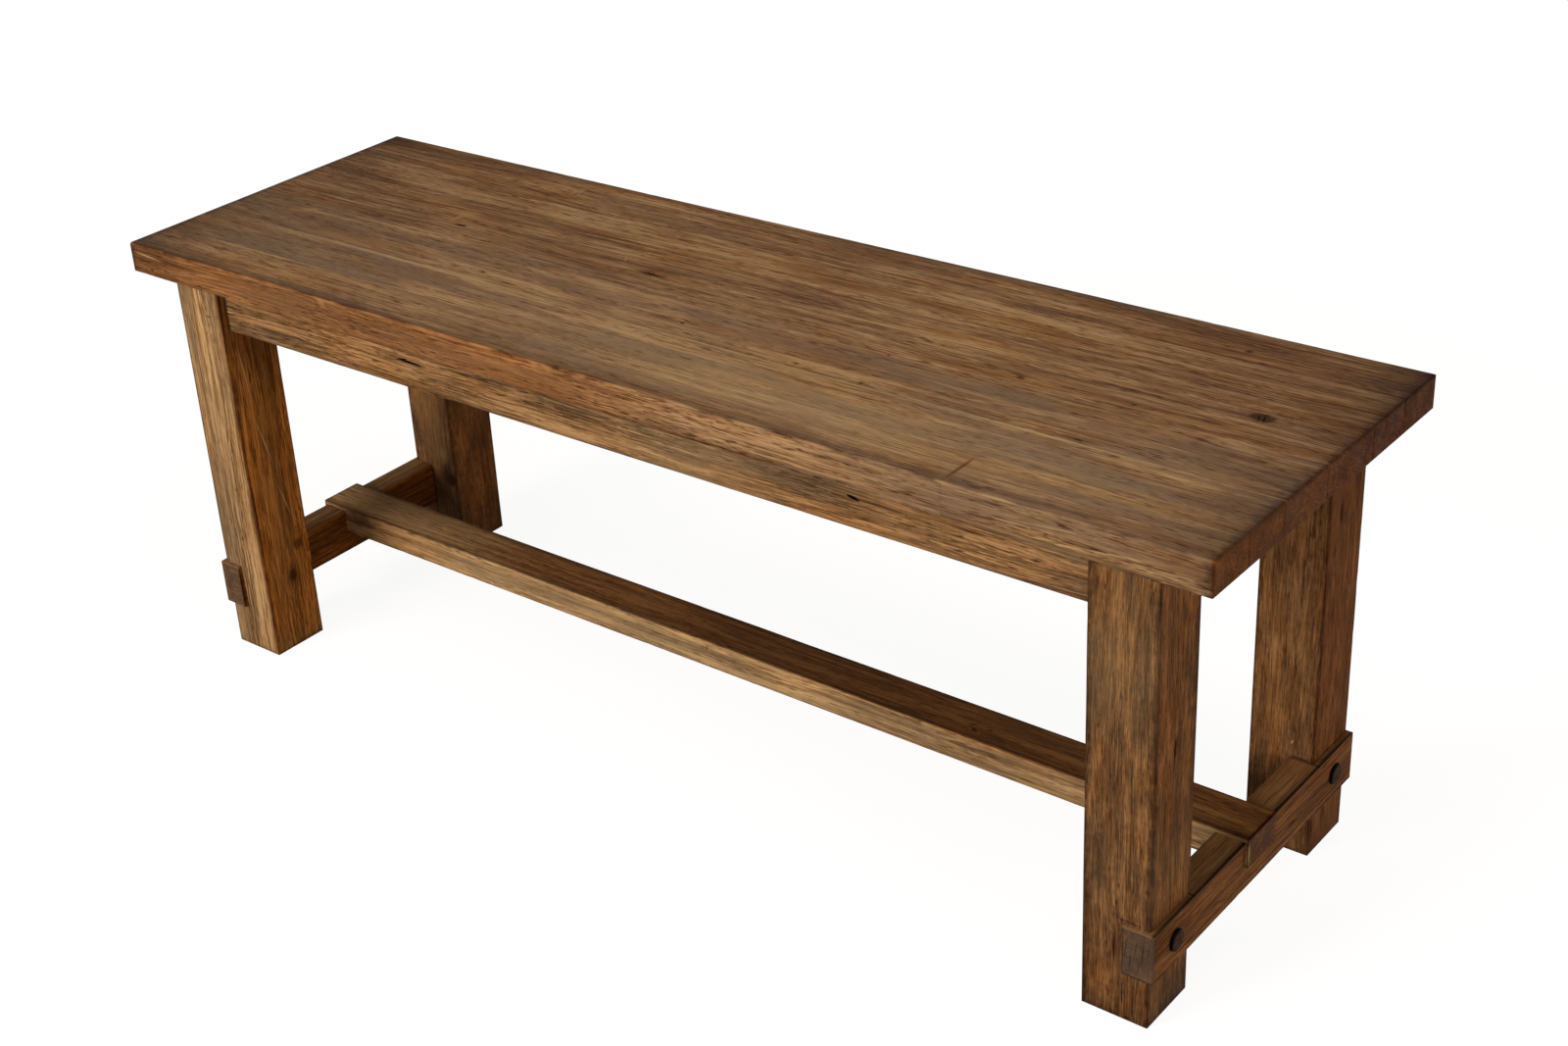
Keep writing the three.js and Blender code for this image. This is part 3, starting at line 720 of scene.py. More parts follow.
@dataclass(frozen=True)
class Metal:
    """A plated or blackened steel.

    Attributes:
        worn: Its colour in spots, where it is rubbed or stained.
        spot: Size of the spots.
        specular: How strongly a coating that isn't bare metal shines.
        levels: Where the spots start to show and are full.
        swing: Levels of the spots that the roughness swings between, and the factor on it at each.
        bump: Strength and height in metres of the spots.
    """

    name: str
    colour: str
    worn: str
    metallic: float
    roughness: float
    spot: float
    specular: float = 0.5
    levels: Pair = (0.42, 0.66)
    swing: Quad = (0.3, 0.7, 0.8, 1.25)
    bump: Pair = (0.3, 0.05 * MM)

    @cache
    def material(self) -> Material:
        """Makes the metal's material once.

        Returns:
            The material.
        """
        made = bpy.data.materials.new(self.name)
        add = emptied(made)
        spots = add("TexNoise", {
            "Vector": add("TexCoord").node.outputs["Object"], "Scale": 1 / (self.spot * MM), "Detail": 4.0,
            "Roughness": 0.6})
        cover = add("MapRange", (spots, *self.levels))
        colour = add("Mix", {0: cover, 6: linear(self.colour), 7: linear(self.worn)}, data_type="RGBA")
        low, high, least, most = self.swing
        rough = add("MapRange", (spots, low, high, self.roughness * least, self.roughness * most))
        bump = add("Bump", {"Height": spots, "Strength": self.bump[0], "Distance": self.bump[1]})
        shader = add("BsdfPrincipled", {
            "Base Color": colour, "Roughness": rough, "Normal": bump, "Metallic": self.metallic,
            "Specular IOR Level": self.specular})
        add("OutputMaterial", {"Surface": shader})
        return made


# Zinc-plated steel: grey with a cool shine, dulled in spots
ZINC = Metal("zinc-plated steel", "#a9adb0", "#8d8a80", 1.0, 0.38, 3.0)
# Black-oxide steel: nearly black and glossy at the rim, its face dulled brown by the stain
BLACK_RIM = Metal("blackened steel rim", "#040303", "#080504", 0.0, 0.45, 4.0, 0.03)
BLACK_FACE = Metal("blackened steel face", "#3a241a", "#291910", 0.0, 0.6, 5.0, 0.02)


# Meshes
def skin(name: str, rings: Sequence[Sequence[Vector]], material: Material, looped: bool = False) -> Object:
    """Skins a row of rings into a closed mesh.

    Args:
        name: Its name.
        rings: Rings with the same number of points each.
        material: Its material.
        looped: True to join the last ring to the first instead of closing both ends.

    Returns:
        Its object.
    """
    shape = bmesh.new()
    rows = [[shape.verts.new(point * MM) for point in ring] for ring in rings]
    pairs = list(zip(rows, rows[1:]))
    if looped:
        pairs.append((rows[-1], rows[0]))
    for first, second in pairs:
        for index in range(len(first)):
            after = (index + 1) % len(first)
            shape.faces.new((first[index], first[after], second[after], second[index]))
    if not looped:
        shape.faces.new(list(reversed(rows[0])))
        shape.faces.new(rows[-1])
    return finished(name, shape, material)


def finished(name: str, shape: bmesh.types.BMesh, material: Material) -> Object:
    """Cleans a shape and makes its object.

    Args:
        name: Its name.
        shape: The shape, which is used up.
        material: Its material.

    Returns:
        The object, smooth but for its sharp edges.
    """
    bmesh.ops.remove_doubles(shape, verts=shape.verts, dist=1e-7)
    bmesh.ops.dissolve_degenerate(shape, edges=shape.edges, dist=1e-8)
    bmesh.ops.recalc_face_normals(shape, faces=shape.faces)
    mesh = bpy.data.meshes.new(name)
    shape.to_mesh(mesh)
    shape.free()
    mesh.shade_smooth()
    mesh.set_sharp_from_angle(angle=SMOOTH_ANGLE)
    mesh.materials.append(material)
    made = bpy.data.objects.new(name, mesh)
    bpy.context.scene.collection.objects.link(made)
    return made


def cut_away(piece: Object, cutters: Iterable[Object]) -> None:
    """Cuts shapes out of a piece and removes them.

    Args:
        piece: The piece, whose mesh is changed.
        cutters: The closed shapes to cut with.
    """
    for cutter in cutters:
        modifier = piece.modifiers.new("cut", "BOOLEAN")
        modifier.object, modifier.operation, modifier.solver = cutter, "DIFFERENCE", "EXACT"
        mesh = bpy.data.meshes.new_from_object(piece.evaluated_get(bpy.context.evaluated_depsgraph_get()))
        piece.modifiers.clear()
        old, piece.data = piece.data, mesh
        mesh.name = piece.name
        bpy.data.meshes.remove(old)
        bpy.data.objects.remove(cutter)
    piece.data.shade_smooth()
    piece.data.set_sharp_from_angle(angle=SMOOTH_ANGLE)


def carry(piece: Object, node: str) -> None:
    """Hands a piece to the frame: it rides on the bench and stands for its node.

    Args:
        piece: The piece.
        node: The node it replaces.
    """
    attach(piece, BODY)
    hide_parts(node)
    LOG.info("%s: %d faces", piece.name, len(piece.data.polygons))


def corners_of(node: str) -> tuple[Vector, Vector]:
    """Gives a node's lowest and highest corner."""
    low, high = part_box(node)
    return Vector(low) / MM, Vector(high) / MM


def spread(start: float, end: float, pitch: float) -> list[float]:
    """Spaces places evenly, both ends included, about one pitch apart."""
    bays = max(1, round((end - start) / pitch))
    return [start + (end - start) * bay / bays for bay in range(bays + 1)]


@dataclass(frozen=True)
class Cut:
    """A housing or lap cut square across a timber, between two places along the grain. It comes in
    along one of the section's axes (0 across, 1 through) from its low (0) or high (1) side to a floor."""

    start: float
    end: float
    axis: int
    side: int
    floor: float


@dataclass
class Timber:
    """One planed timber with eased arrises, skinned over sections along its grain.

    Attributes:
        ease: Radius of its arrises.
        cuts: Its housings and laps.
        pitch: Spacing of its sections and lines.
        hollow: How deep the plane left slow hollows in its faces.
        hollow_waves: Pitch of those hollows and of quicker ones, and the share of the quicker ones.
        arc_steps: How many steps round each arris.
        support: Distance from a rounding to the first line on the face.
        crisp: Radius of an arris inside a cut.
        least: The least radius of an arris.
        end_share: The easing round its ends, as a share of its arrises'.
        inset_share: How much the easing round an end takes off an arris's radius.
        mark_rows: How closely sections follow a mark: how far out, as a factor on its reach, the least
            reach and spacing, and how many there are to a reach.
        mark_lines: The same for the lines along the timber.
        wear: Pitch and share of the slow change in its arrises.
        ding: Pitch, least level and reach of the small dents in its arrises.
    """

    node: str
    grain: Grain
    wood: StainedWood
    slot: str
    ease: float = 2.0
    cuts: tuple[Cut, ...] = ()
    pitch: float = 8.0
    hollow: float = 0.16
    arc_steps: int = 5
    support: float = 1.1
    crisp: float = 0.3
    least: float = 0.12
    hollow_waves: Triple = (62.0, 17.0, 0.25)
    end_share: float = 0.8
    inset_share: float = 0.6
    mark_rows: Quad = (1.15, 1.0, 0.7, 7.0)
    mark_lines: Quad = (1.1, 0.8, 0.45, 4.0)
    wear: Pair = (55.0, 0.3)
    ding: Triple = (13.0, 0.42, 3.0)
    low: Vector = field(init=False)
    high: Vector = field(init=False)
    lines: list[list[float]] = field(init=False)

    def __post_init__(self) -> None:
        """Finds the timber's corners in grain order, and lays out the lines along it."""
        self.low, self.high = (self.grain.local(corner) for corner in self.extent())
        self.lines = self.laid_lines()

    def extent(self) -> tuple[Vector, Vector]:
        """Gives the timber's own lowest and highest corner."""
        return corners_of(self.node)

    def worn_form(self) -> tuple[Vector, Vector]:
        """Gives the corners of the form whose arrises are burnished."""
        return corners_of(self.node)

    def arris(self, corner: int, along: float) -> Pair:
        """Gives the reach of an arris's rounding, worn a little unevenly.

        Args:
            corner: The corner of the section, 0 to 3.
            along: The place along the grain.

        Returns:
            Its reach across and through.
        """
        seed, (pitch, share), (ding_pitch, level, depth) = self.wood.seed, self.wear, self.ding
        ding = max(0.0, noise.noise(Vector((along / ding_pitch, 11.0 * corner, 5.7 * seed))) - level)
        slow = noise.noise(Vector((along / pitch, 7.3 * corner, 3.1 * seed)))
        return (self.ease * (1 + share * slow) + depth * ding,) * 2

    def round_at(self, corner: int, share: float) -> Vector:
        """Gives a place on a corner's rounding of reach 1, a share of the way along it."""
        angle = (corner - 1 + share) * math.pi / 2
        return Vector((math.cos(angle), math.sin(angle)))

    def end_ease(self, side: int) -> float:
        """Gives the reach of the easing round an end: side 0 is the low end."""
        return self.ease * self.end_share

    def is_flat(self, corner: int, along: float) -> bool:
        """Tells whether a corner of the section is cut flat at a place, and not rounded."""
        return False

    def breaks(self) -> list[float]:
        """Gives the places along the grain where the section changes at once."""
        return [edge for cut in self.cuts for edge in (cut.start, cut.end)]

    def stations(self) -> list[Triple]:
        """Lays out the sections along the grain.

        Returns:
            For each section its place, its inset, and the place that tells which cuts it meets.
        """
        low, high = self.low[0], self.high[0]
        inner = (low + self.end_ease(0), high - self.end_ease(1))
        places = set(spread(*inner, self.pitch))
        out, least, spacing, rows = self.mark_rows
        for mark in self.wood.marks:
            if mark.kind.value.relief:
                middle = self.grain.local(mark.place)[0]
                reach = max(self.grain.local(mark.reach)[0], least)
                places.update(spread(middle - out * reach, middle + out * reach, max(spacing, reach / rows)))
        edges = self.breaks()
        places = {p for p in places if inner[0] <= p <= inner[1] and all(abs(p - edge) > 0.4 for edge in edges)}
        found = [(p, 0.0, p) for p in places]
        found += [(edge, 0.0, edge + shift) for edge in edges for shift in (-0.01, 0.01)]
        found.sort(key=lambda station: station[2])
        return [*reversed(self.rounding(inner[0], low)), *found, *self.rounding(inner[1], high)]

    def rounding(self, inner: float, end: float) -> list[Triple]:
        """Lays out the sections that round an end over.

        Args:
            inner: Where the rounding starts.
            end: The timber's end.

        Returns:
            The sections from the inside out.
        """
        ease = abs(end - inner)
        angles = [step / self.arc_steps * math.pi / 2 for step in range(1, self.arc_steps + 1)]
        steps = [(inner + (end - inner) * math.sin(a), ease * (1 - math.cos(a)), inner) for a in angles]
        return [*steps, (end, ease + self.support, inner)]

    def laid_lines(self) -> list[list[float]]:
        """Lays out the lines that run along each side, closer together at the marks.

        Returns:
            For each side of the section, places from 0 to 1 between its two arrises.
        """
        laid = []
        out, least, spacing, rows = self.mark_lines
        for side in range(4):
            axis, other = (1, 2) if side % 2 else (2, 1)
            start, end = self.low[axis] + self.ease, self.high[axis] - self.ease
            places = set(spread(start + self.support, end - self.support, self.pitch))
            face = (self.high if side < 2 else self.low)[other]
            for mark in self.wood.marks:
                place, reach = self.grain.local(mark.place), self.grain.local(mark.reach)
                near = abs(place[other] - face) < 0.3 * (self.high[other] - self.low[other])
                if mark.kind.value.relief and near:
                    wide = max(reach[axis], reach[0] * abs(math.sin(math.radians(mark.turn))), least) * out
                    places.update(spread(place[axis] - wide, place[axis] + wide, max(spacing, wide / rows)))
            shares = sorted((p - start) / (end - start) for p in places)
            shares = [s for s in shares if 0.0 < s < 1.0]
            laid.append(shares if side in (0, 3) else [1 - s for s in reversed(shares)])
        return laid

    def arc(self, corner: int, inset: float, probe: float) -> list[tuple[Vector, Vector]]:
        """Draws a section's rounding at one corner.

        Args:
            corner: The corner of the section, 0 to 3.
            inset: How far the section is drawn in, at an eased end.
            probe: The place that tells which cuts it meets.

        Returns:
            Its points across and through, each with its normal.
        """
        whole = [(self.low, self.high)[side][axis] for axis, side in enumerate(CORNER_SIDES[corner], 1)]
        edges = list(whole)
        for cut in self.cuts:
            if cut.start < probe < cut.end and CORNER_SIDES[corner][cut.axis] == cut.side:
                edges[cut.axis] = cut.floor
        reach = self.arris(corner, probe) if edges == whole else (self.crisp, self.crisp)
        reach = [max(self.least, r - self.inset_share * inset) for r in reach]
        centre = [edge - (2 * side - 1) * (inset + r) for edge, side, r in zip(edges, CORNER_SIDES[corner], reach)]
        normals = [self.round_at(corner, step / self.arc_steps) for step in range(self.arc_steps + 1)]
        points = [Vector([c + r * n for c, r, n in zip(centre, reach, normal)]) for normal in normals]
        if self.is_flat(corner, probe):
            first, last = points[0], points[-1]
            points = [first.lerp(last, step / self.arc_steps) for step in range(self.arc_steps + 1)]
        return list(zip(points, normals))

    def section(self, along: float, inset: float, probe: float) -> list[Vector]:
        """Draws one section as a ring of points, worn and marked.

        Args:
            along: Its place along the grain.
            inset: How far it is drawn in, at an eased end.
            probe: The place that tells which cuts it meets.

        Returns:
            The points in the bench's frame.
        """
        arcs = [self.arc(corner, inset, probe) for corner in range(4)]
        ring = []
        for corner, arc in enumerate(arcs):
            start, end = arc[-1][0], arcs[(corner + 1) % 4][0][0]
            normal = Vector((math.cos(corner * math.pi / 2), math.sin(corner * math.pi / 2)))
            ring += arc + [(start.lerp(end, share), normal) for share in self.lines[corner]]
        placed = []
        for point, normal in ring:
            place = self.grain.world((along, *point))
            placed.append(place - self.grain.world((0.0, *normal)) * self.relief(place))
        return placed

    def relief(self, place: Vector) -> float:
        """Finds how far the worked face lies below the true one.

        Args:
            place: The place on it.

        Returns:
            The depth.
        """
        pitch, quick_pitch, share = self.hollow_waves
        slow = 0.5 + 0.5 * noise.noise(place / pitch)
        quick = 0.5 + 0.5 * noise.noise(place / quick_pitch + Vector((9.0, 4.0, 1.0)))
        return self.hollow * slow + share * self.hollow * quick + sum(m.depth_at(place) for m in self.wood.marks)

    def build(self) -> Object:
        """Builds the timber.

        Returns:
            Its object.
        """
        rings = [self.section(*station) for station in self.stations()]
        material = WoodCoat(f"{self.node} wood", self.wood, self.grain, self.worn_form()).build()
        piece = skin(f"worked_{self.node}", rings, material)
        carry(piece, self.node)
        return piece


@dataclass
class Post(Timber):
    """A square post with the housing for its end stretcher and a flat for its corner block.

    Attributes:
        inner: The inner corner of its section: 0 for the low and 1 for the high side, across and through.
        flat_leg: How far the flat reaches along each face, from flat_start up.
    """

    inner: Signs = (0, 0)
    flat_leg: float = 12.0
    flat_start: float = 385.8

    def is_flat(self, corner: int, along: float) -> bool:
        """Tells whether a corner of the section is cut flat at a place."""
        return CORNER_SIDES[corner] == self.inner and along > self.flat_start

    def arris(self, corner: int, along: float) -> Pair:
        """Gives the reach of an arris, or of the flat."""
        return (self.flat_leg,) * 2 if self.is_flat(corner, along) else super().arris(corner, along)

    def breaks(self) -> list[float]:
        """Gives the places where the section changes at once."""
        return [*super().breaks(), self.flat_start]


@dataclass
class Stave(Timber):
    """One stave of the seat. The staves were glued up and then worked as one slab.

    Attributes:
        slab: The seat's lowest and highest corner.
        joint_ease: The reach of its arrises along the glue lines.
        swell: How far it closes on its neighbours.
        worn: Mean and swing of the hand-worn front arris.
        worn_waves: Pitch and share of each of its waves.
        worn_ripple: Pitch and share of its finest change.
        worn_least: Its least reach.
        worn_top_share: How much further it reaches over the top than down the front.
        chip: Pitch, least level and reach of its chips.
        rub_width: Half the width of the line that is rubbed pale.
        rub_zone: How far in and down from the seat's edge it can lie.
        rub_level: Its mean strength, which rub_waves break up, by their pitch and weight.
    """

    slab: tuple[Vector, Vector] = (Vector(), Vector())
    joint_ease: float = 0.16
    swell: float = 0.05
    worn: Pair = (1.4, 0.8)
    worn_waves: tuple[Pair, ...] = ((233.0, 0.5), (97.0, 0.3), (61.0, 0.2))
    worn_ripple: Pair = (21.0, 0.12)
    worn_least: float = 0.3
    worn_top_share: float = 1.5
    chip: Triple = (9.0, 0.3, 2.4)
    rub_width: float = 2.6
    rub_zone: Pair = (12.0, 2.0)
    rub_level: float = 0.4
    rub_waves: tuple[Pair, Pair] = ((34.0, 2.2), (6.0, 0.9))

    def is_outside(self, side: int, axis: int) -> bool:
        """Tells whether a side of the stave is a side of the seat: 0 for low, 1 for high."""
        return abs(corners_of(self.node)[side][axis] - self.slab[side][axis]) < 0.05

    def extent(self) -> tuple[Vector, Vector]:
        """Gives the stave's corners, a hair closer to its neighbours than the model's.

        Returns:
            Its lowest and highest corner.
        """
        corners = corners_of(self.node)
        for side, sign in ((0, -1), (1, 1)):
            for axis in (0, 1):
                if not self.is_outside(side, axis):
                    corners[side][axis] += sign * self.swell
        return corners

    def worn_form(self) -> tuple[Vector, Vector]:
        """Gives the seat's corners, because the seat was burnished as one."""
        return self.slab

    def arris(self, corner: int, along: float) -> Pair:
        """Gives the reach of an arris: worn in front, eased behind, and crisp along the glue lines.

        Args:
            corner: The corner of the section, 0 to 3.
            along: The place along the grain.

        Returns:
            Its reach across and through.
        """
        back, top = CORNER_SIDES[corner]
        if not self.is_outside(back, 1):
            return self.joint_ease, self.joint_ease
        if back or not top:
            return super().arris(corner, along)
        wave = sum(share * math.sin(2 * math.pi * along / pitch + index)
                   for index, (pitch, share) in enumerate(self.worn_waves))
        pitch, level, depth = self.chip
        chip = max(0.0, noise.noise(Vector((along / pitch, 4.4, 0.7))) - level)
        pitch, share = self.worn_ripple
        reach = (self.worn[0] + self.worn[1] * wave) * (1 + share * noise.noise(Vector((along / pitch, 0.0, 2.0))))
        reach = max(self.worn_least, reach) + depth * chip
        return reach * self.worn_top_share, reach

    def round_at(self, corner: int, share: float) -> Vector:
        """Gives a place on a rounding. The worn one leaves the top at a crease and runs out down the front."""
        worn = corner == 2 and self.wood.rub
        return Vector((-math.sin(share * math.pi / 2), 1 - share)) if worn else super().round_at(corner, share)

    def end_ease(self, side: int) -> float:
        """Gives the easing round an end, which is crisp at a butt joint."""
        return super().end_ease(side) if self.is_outside(side, 0) else self.joint_ease

    def build(self) -> Object:
        """Builds the stave, and marks where its worn arris is rubbed pale and chipped.

        Returns:
            Its object.
        """
        piece = super().build()
        if self.wood.rub:
            line = piece.data.attributes.new(RUB, "FLOAT", "POINT")
            (pitch, weight), (fine_pitch, fine_weight) = self.rub_waves
            for vertex, value in zip(piece.data.vertices, line.data):
                place = vertex.co / MM
                inward, down = place.y - self.slab[0].y, self.slab[1].z - place.z
                if inward <= self.rub_zone[0] and down <= self.rub_zone[1]:
                    over, _ = self.arris(2, place.x)
                    broken = self.rub_level + weight * noise.noise(Vector((place.x / pitch, 3.0, 8.0)))
                    broken += fine_weight * noise.noise(place / fine_pitch)
                    near = max(0.0, 1 - abs(inward - over / 2) / self.rub_width)
                    value.value = max(0.0, min(1.0, broken)) * near
        return piece


# Sub-assemblies
@dataclass
class Seat:
    """The seat: six rows of staves, some of two or three lengths."""

    low: Triple = (-609.5, -187.0, 426.0)
    high: Triple = (609.5, 187.0, 457.0)
    ease: float = 1.0

    def marks(self) -> Mapping[str, tuple[Mark, ...]]:
        """Lists the marks, measured from the seat's back left corner and its front top edge.

        Returns:
            The marks by stave.
        """
        top, flat = (Face((-609.5, 187.0, 457.0), X, FORWARD, through) for through in (5.0, 0.9))
        front, end = Face((-609.5, -187.0, 457.0), X, DOWN), Face((609.5, -187.0, 457.0), Y, DOWN, 2.5)
        # Painted warm shade over the seat's right end, which faces +X
        red_end = end(FLAME, 250, 15, 900, 200, 0.85)
        warm = front(FLAME, 0, 15, 760, 200, 0.6)
        band = front(BURNISH, 840, 15, 480, 60, 0.36)
        dark_corner = top(BURNISH, 0, 320, 100, 130, 0.3)
        left = top(BURNISH, 0, 187, 230, 1500, 0.32)
        right = top(BURNISH, 1219, 187, 95, 1500, 0.65)
        back = top(BURNISH, 610, 0, 3000, 26, 0.32)
        edge = flat(BURNISH, 610, 374, 3000, 24, 0.75)
        shade = flat(BURNISH, 120, 374, 520, 22, 0.6)
        light = top(PALE, 790, 318, 560, 62, 0.45)
        dark_end = end(BURNISH, 290, 15, 130, 60, 0.5)
        deeper = top(BURNISH, 1100, 100, 190, 120, 0.36)
        return {
            "back_left": (
                left, back, top(BURNISH, 0, 0, 75, 50), top(BURNISH, 15, 8, 45, 30, 0.35),
                top(FLAME, 260, 60, 230, 45, 0.28), top(SPECK, 305, 38, 2.6, 3),
            ),
            "back_right": (
                right, red_end, dark_end, back, deeper, top(BURNISH, 1020, 24, 260, 40, 0.5),
                top(BURNISH, 1219, 30, 55, 110, 0.8), top(FLAME, 1080, 60, 130, 60, 0.3),
                top(STREAK, 640, 45, 70, 4.5), top(STREAK, 770, 38, 60, 4), top(SPECK, 1070, 38, 6, 4.5),
                top(STREAK, 1065, 44, 40, 3), top(PALE, 525, 61, 80, 3.4, 1.3), top(PALE, 1010, 60, 200, 3.2, 1.4),
            ),
            "back_inner": (
                left, right, red_end, dark_end, deeper, top(BURNISH, 1219, 30, 55, 110, 0.8),
                top(STREAK, 460, 114, 170, 2.2, 1.2), top(STREAK, 830, 103, 14, 2.5), top(SWIRL, 20, 128, 190, 40),
            ),
            "middle_back_left": (
                left, top(SWIRL, 20, 128, 190, 40), top(STREAK, 512, 166, 32, 3.6, 1.2),
                top(CRACK, 517, 166, 21, 2.3), top(CRACK, 262, 165, 10, 2.6, 0.9, -6),
                top(FADED, 246, 151, 3, 12, 0.7, 12), top(FADED, 256, 145, 10, 2, 0.5, -10),
                top(PALE, 470, 150, 1.4, 6, 1.0, -30), top(STREAK, 160, 138, 150, 3.5, 1.0, -6),
            ),
            "middle_back_right": (
                right, red_end, dark_end, deeper, top(STREAK, 1128, 147, 42, 9, 0.8, 4),
                top(KNOT, 1139, 147, 16, 10, 1.0, 8), top(CRACK, 1136, 147, 5.5, 0.7, 0.9, 62),
                top(CRACK, 1141, 148, 6, 0.7, 0.9, 70), top(STREAK, 1000, 158, 140, 4, 1.0, -4),
                top(STREAK, 745, 161, 16, 4, 0.9), top(SPECK, 935, 182, 7, 4.4, 1.0, 20),
                top(SPECK, 1041, 178, 4.4, 3.4), top(STREAK, 829, 161, 9, 4.5, 1.1),
            ),
            "middle_front": (
                left, dark_corner, right, red_end, light, top(BURNISH, 10, 235, 55, 60, 0.4),
                top(SPECK, 372, 245, 4, 3, 1.0, 30), top(SPECK, 616, 240, 4.4, 3, 1.0, 15),
                top(SPECK, 757, 257, 2.6, 3), top(SPECK, 828, 261, 4, 3.8), top(SPECK, 815, 202, 2.4, 2.2),
                top(STREAK, 1035, 257, 28, 4.4, 1.2), top(SPECK, 1036, 257, 7, 2.2),
                top(PALE, 300, 263.6, 330, 2.8, 1.5), top(PALE, 1010, 263.6, 260, 2.6, 1.4),
            ),
            "front_inner": (
                left, dark_corner, right, red_end, light, top(PALE, 620, 266.4, 620, 2.2, 1.2),
            ),
            "front_left": (
                left, dark_corner, edge, shade, warm, band, front(BURNISH, 350, 15, 200, 60, 0.35),
                front(BURNISH, 30, 15, 190, 60, 0.95), front(SPECK, 30, 24, 3.4, 2.6),
                front(SPECK, 52, 20, 1.8, 2.2), front(PALE, 25, 10, 26, 1.5, 1.2, 4),
            ),
            "front_middle": (
                edge, shade, light, warm, band, front(BURNISH, 350, 15, 200, 60, 0.35),
                front(BURNISH, 760, 29, 260, 5, 0.9), front(STREAK, 850, 26.5, 150, 1.2),
                top(GLUE, 984.6, 347, 2.2, 27),
            ),
            "front_right": (
                right, edge, red_end, light, band, front(BURNISH, 1190, 15, 150, 60, 0.45),
                top(GLUE, 985.6, 347, 2.2, 27), front(STREAK, 1090, 26, 90, 1.3), front(BURNISH, 1080, 29, 180, 6),
                front(PALE, 1130, 20, 60, 1.2, 1.0, -6), front(PALE, 1085, 12, 40, 1.0, 0.9, -4),
            ),
        }

    def woods(self) -> Mapping[str, StainedWood]:
        """Gives the staves' woods.

        Returns:
            The woods by the end of the stave's name.
        """
        marks = self.marks()
        values = {
            "back_left": (11, (30.0, -95.0), 12.0, 0.02, 0.25), "back_right": (23, (-40.0, -80.0), 11.0, 0.02, 0.4),
            "back_inner": (31, (25.0, -120.0), 13.0, 0.08, 0.12),
            "middle_back_left": (47, (-20.0, -85.0), 12.0, 0.03, 0.25),
            "middle_back_right": (47, (-20.0, -85.0), 12.0, 0.05, 0.2),
            "middle_front": (61, (-50.0, -90.0), 10.0, 0.09, 0.7),
            "front_inner": (71, (45.0, -75.0), 10.0, 0.13, 0.85),
            "front_left": (83, (30.0, 60.0), 10.0, 0.08, 0.65), "front_middle": (83, (30.0, 60.0), 10.0, 0.09, 0.65),
            "front_right": (83, (30.0, 60.0), 10.0, 0.1, 0.7),
        }
        return {
            name: StainedWood(
                SEAT_STAIN, seed, pith, (0.01, 0.02), rings, tone, 1.25, wash, 4.0, 0.6, 16.0, marks[name],
                rub=float(name.startswith("front_")), glow=0.5 if "back" in name else 0.35)
            for name, (seed, pith, rings, tone, wash) in values.items()
        }

    def build(self) -> None:
        """Builds every stave."""
        slab = (Vector(self.low), Vector(self.high))
        for name, wood in self.woods().items():
            Stave(f"seat_stave_{name}", Grain.ALONG_X, wood, "seat_wood", self.ease, hollow=0.2, slab=slab).build()


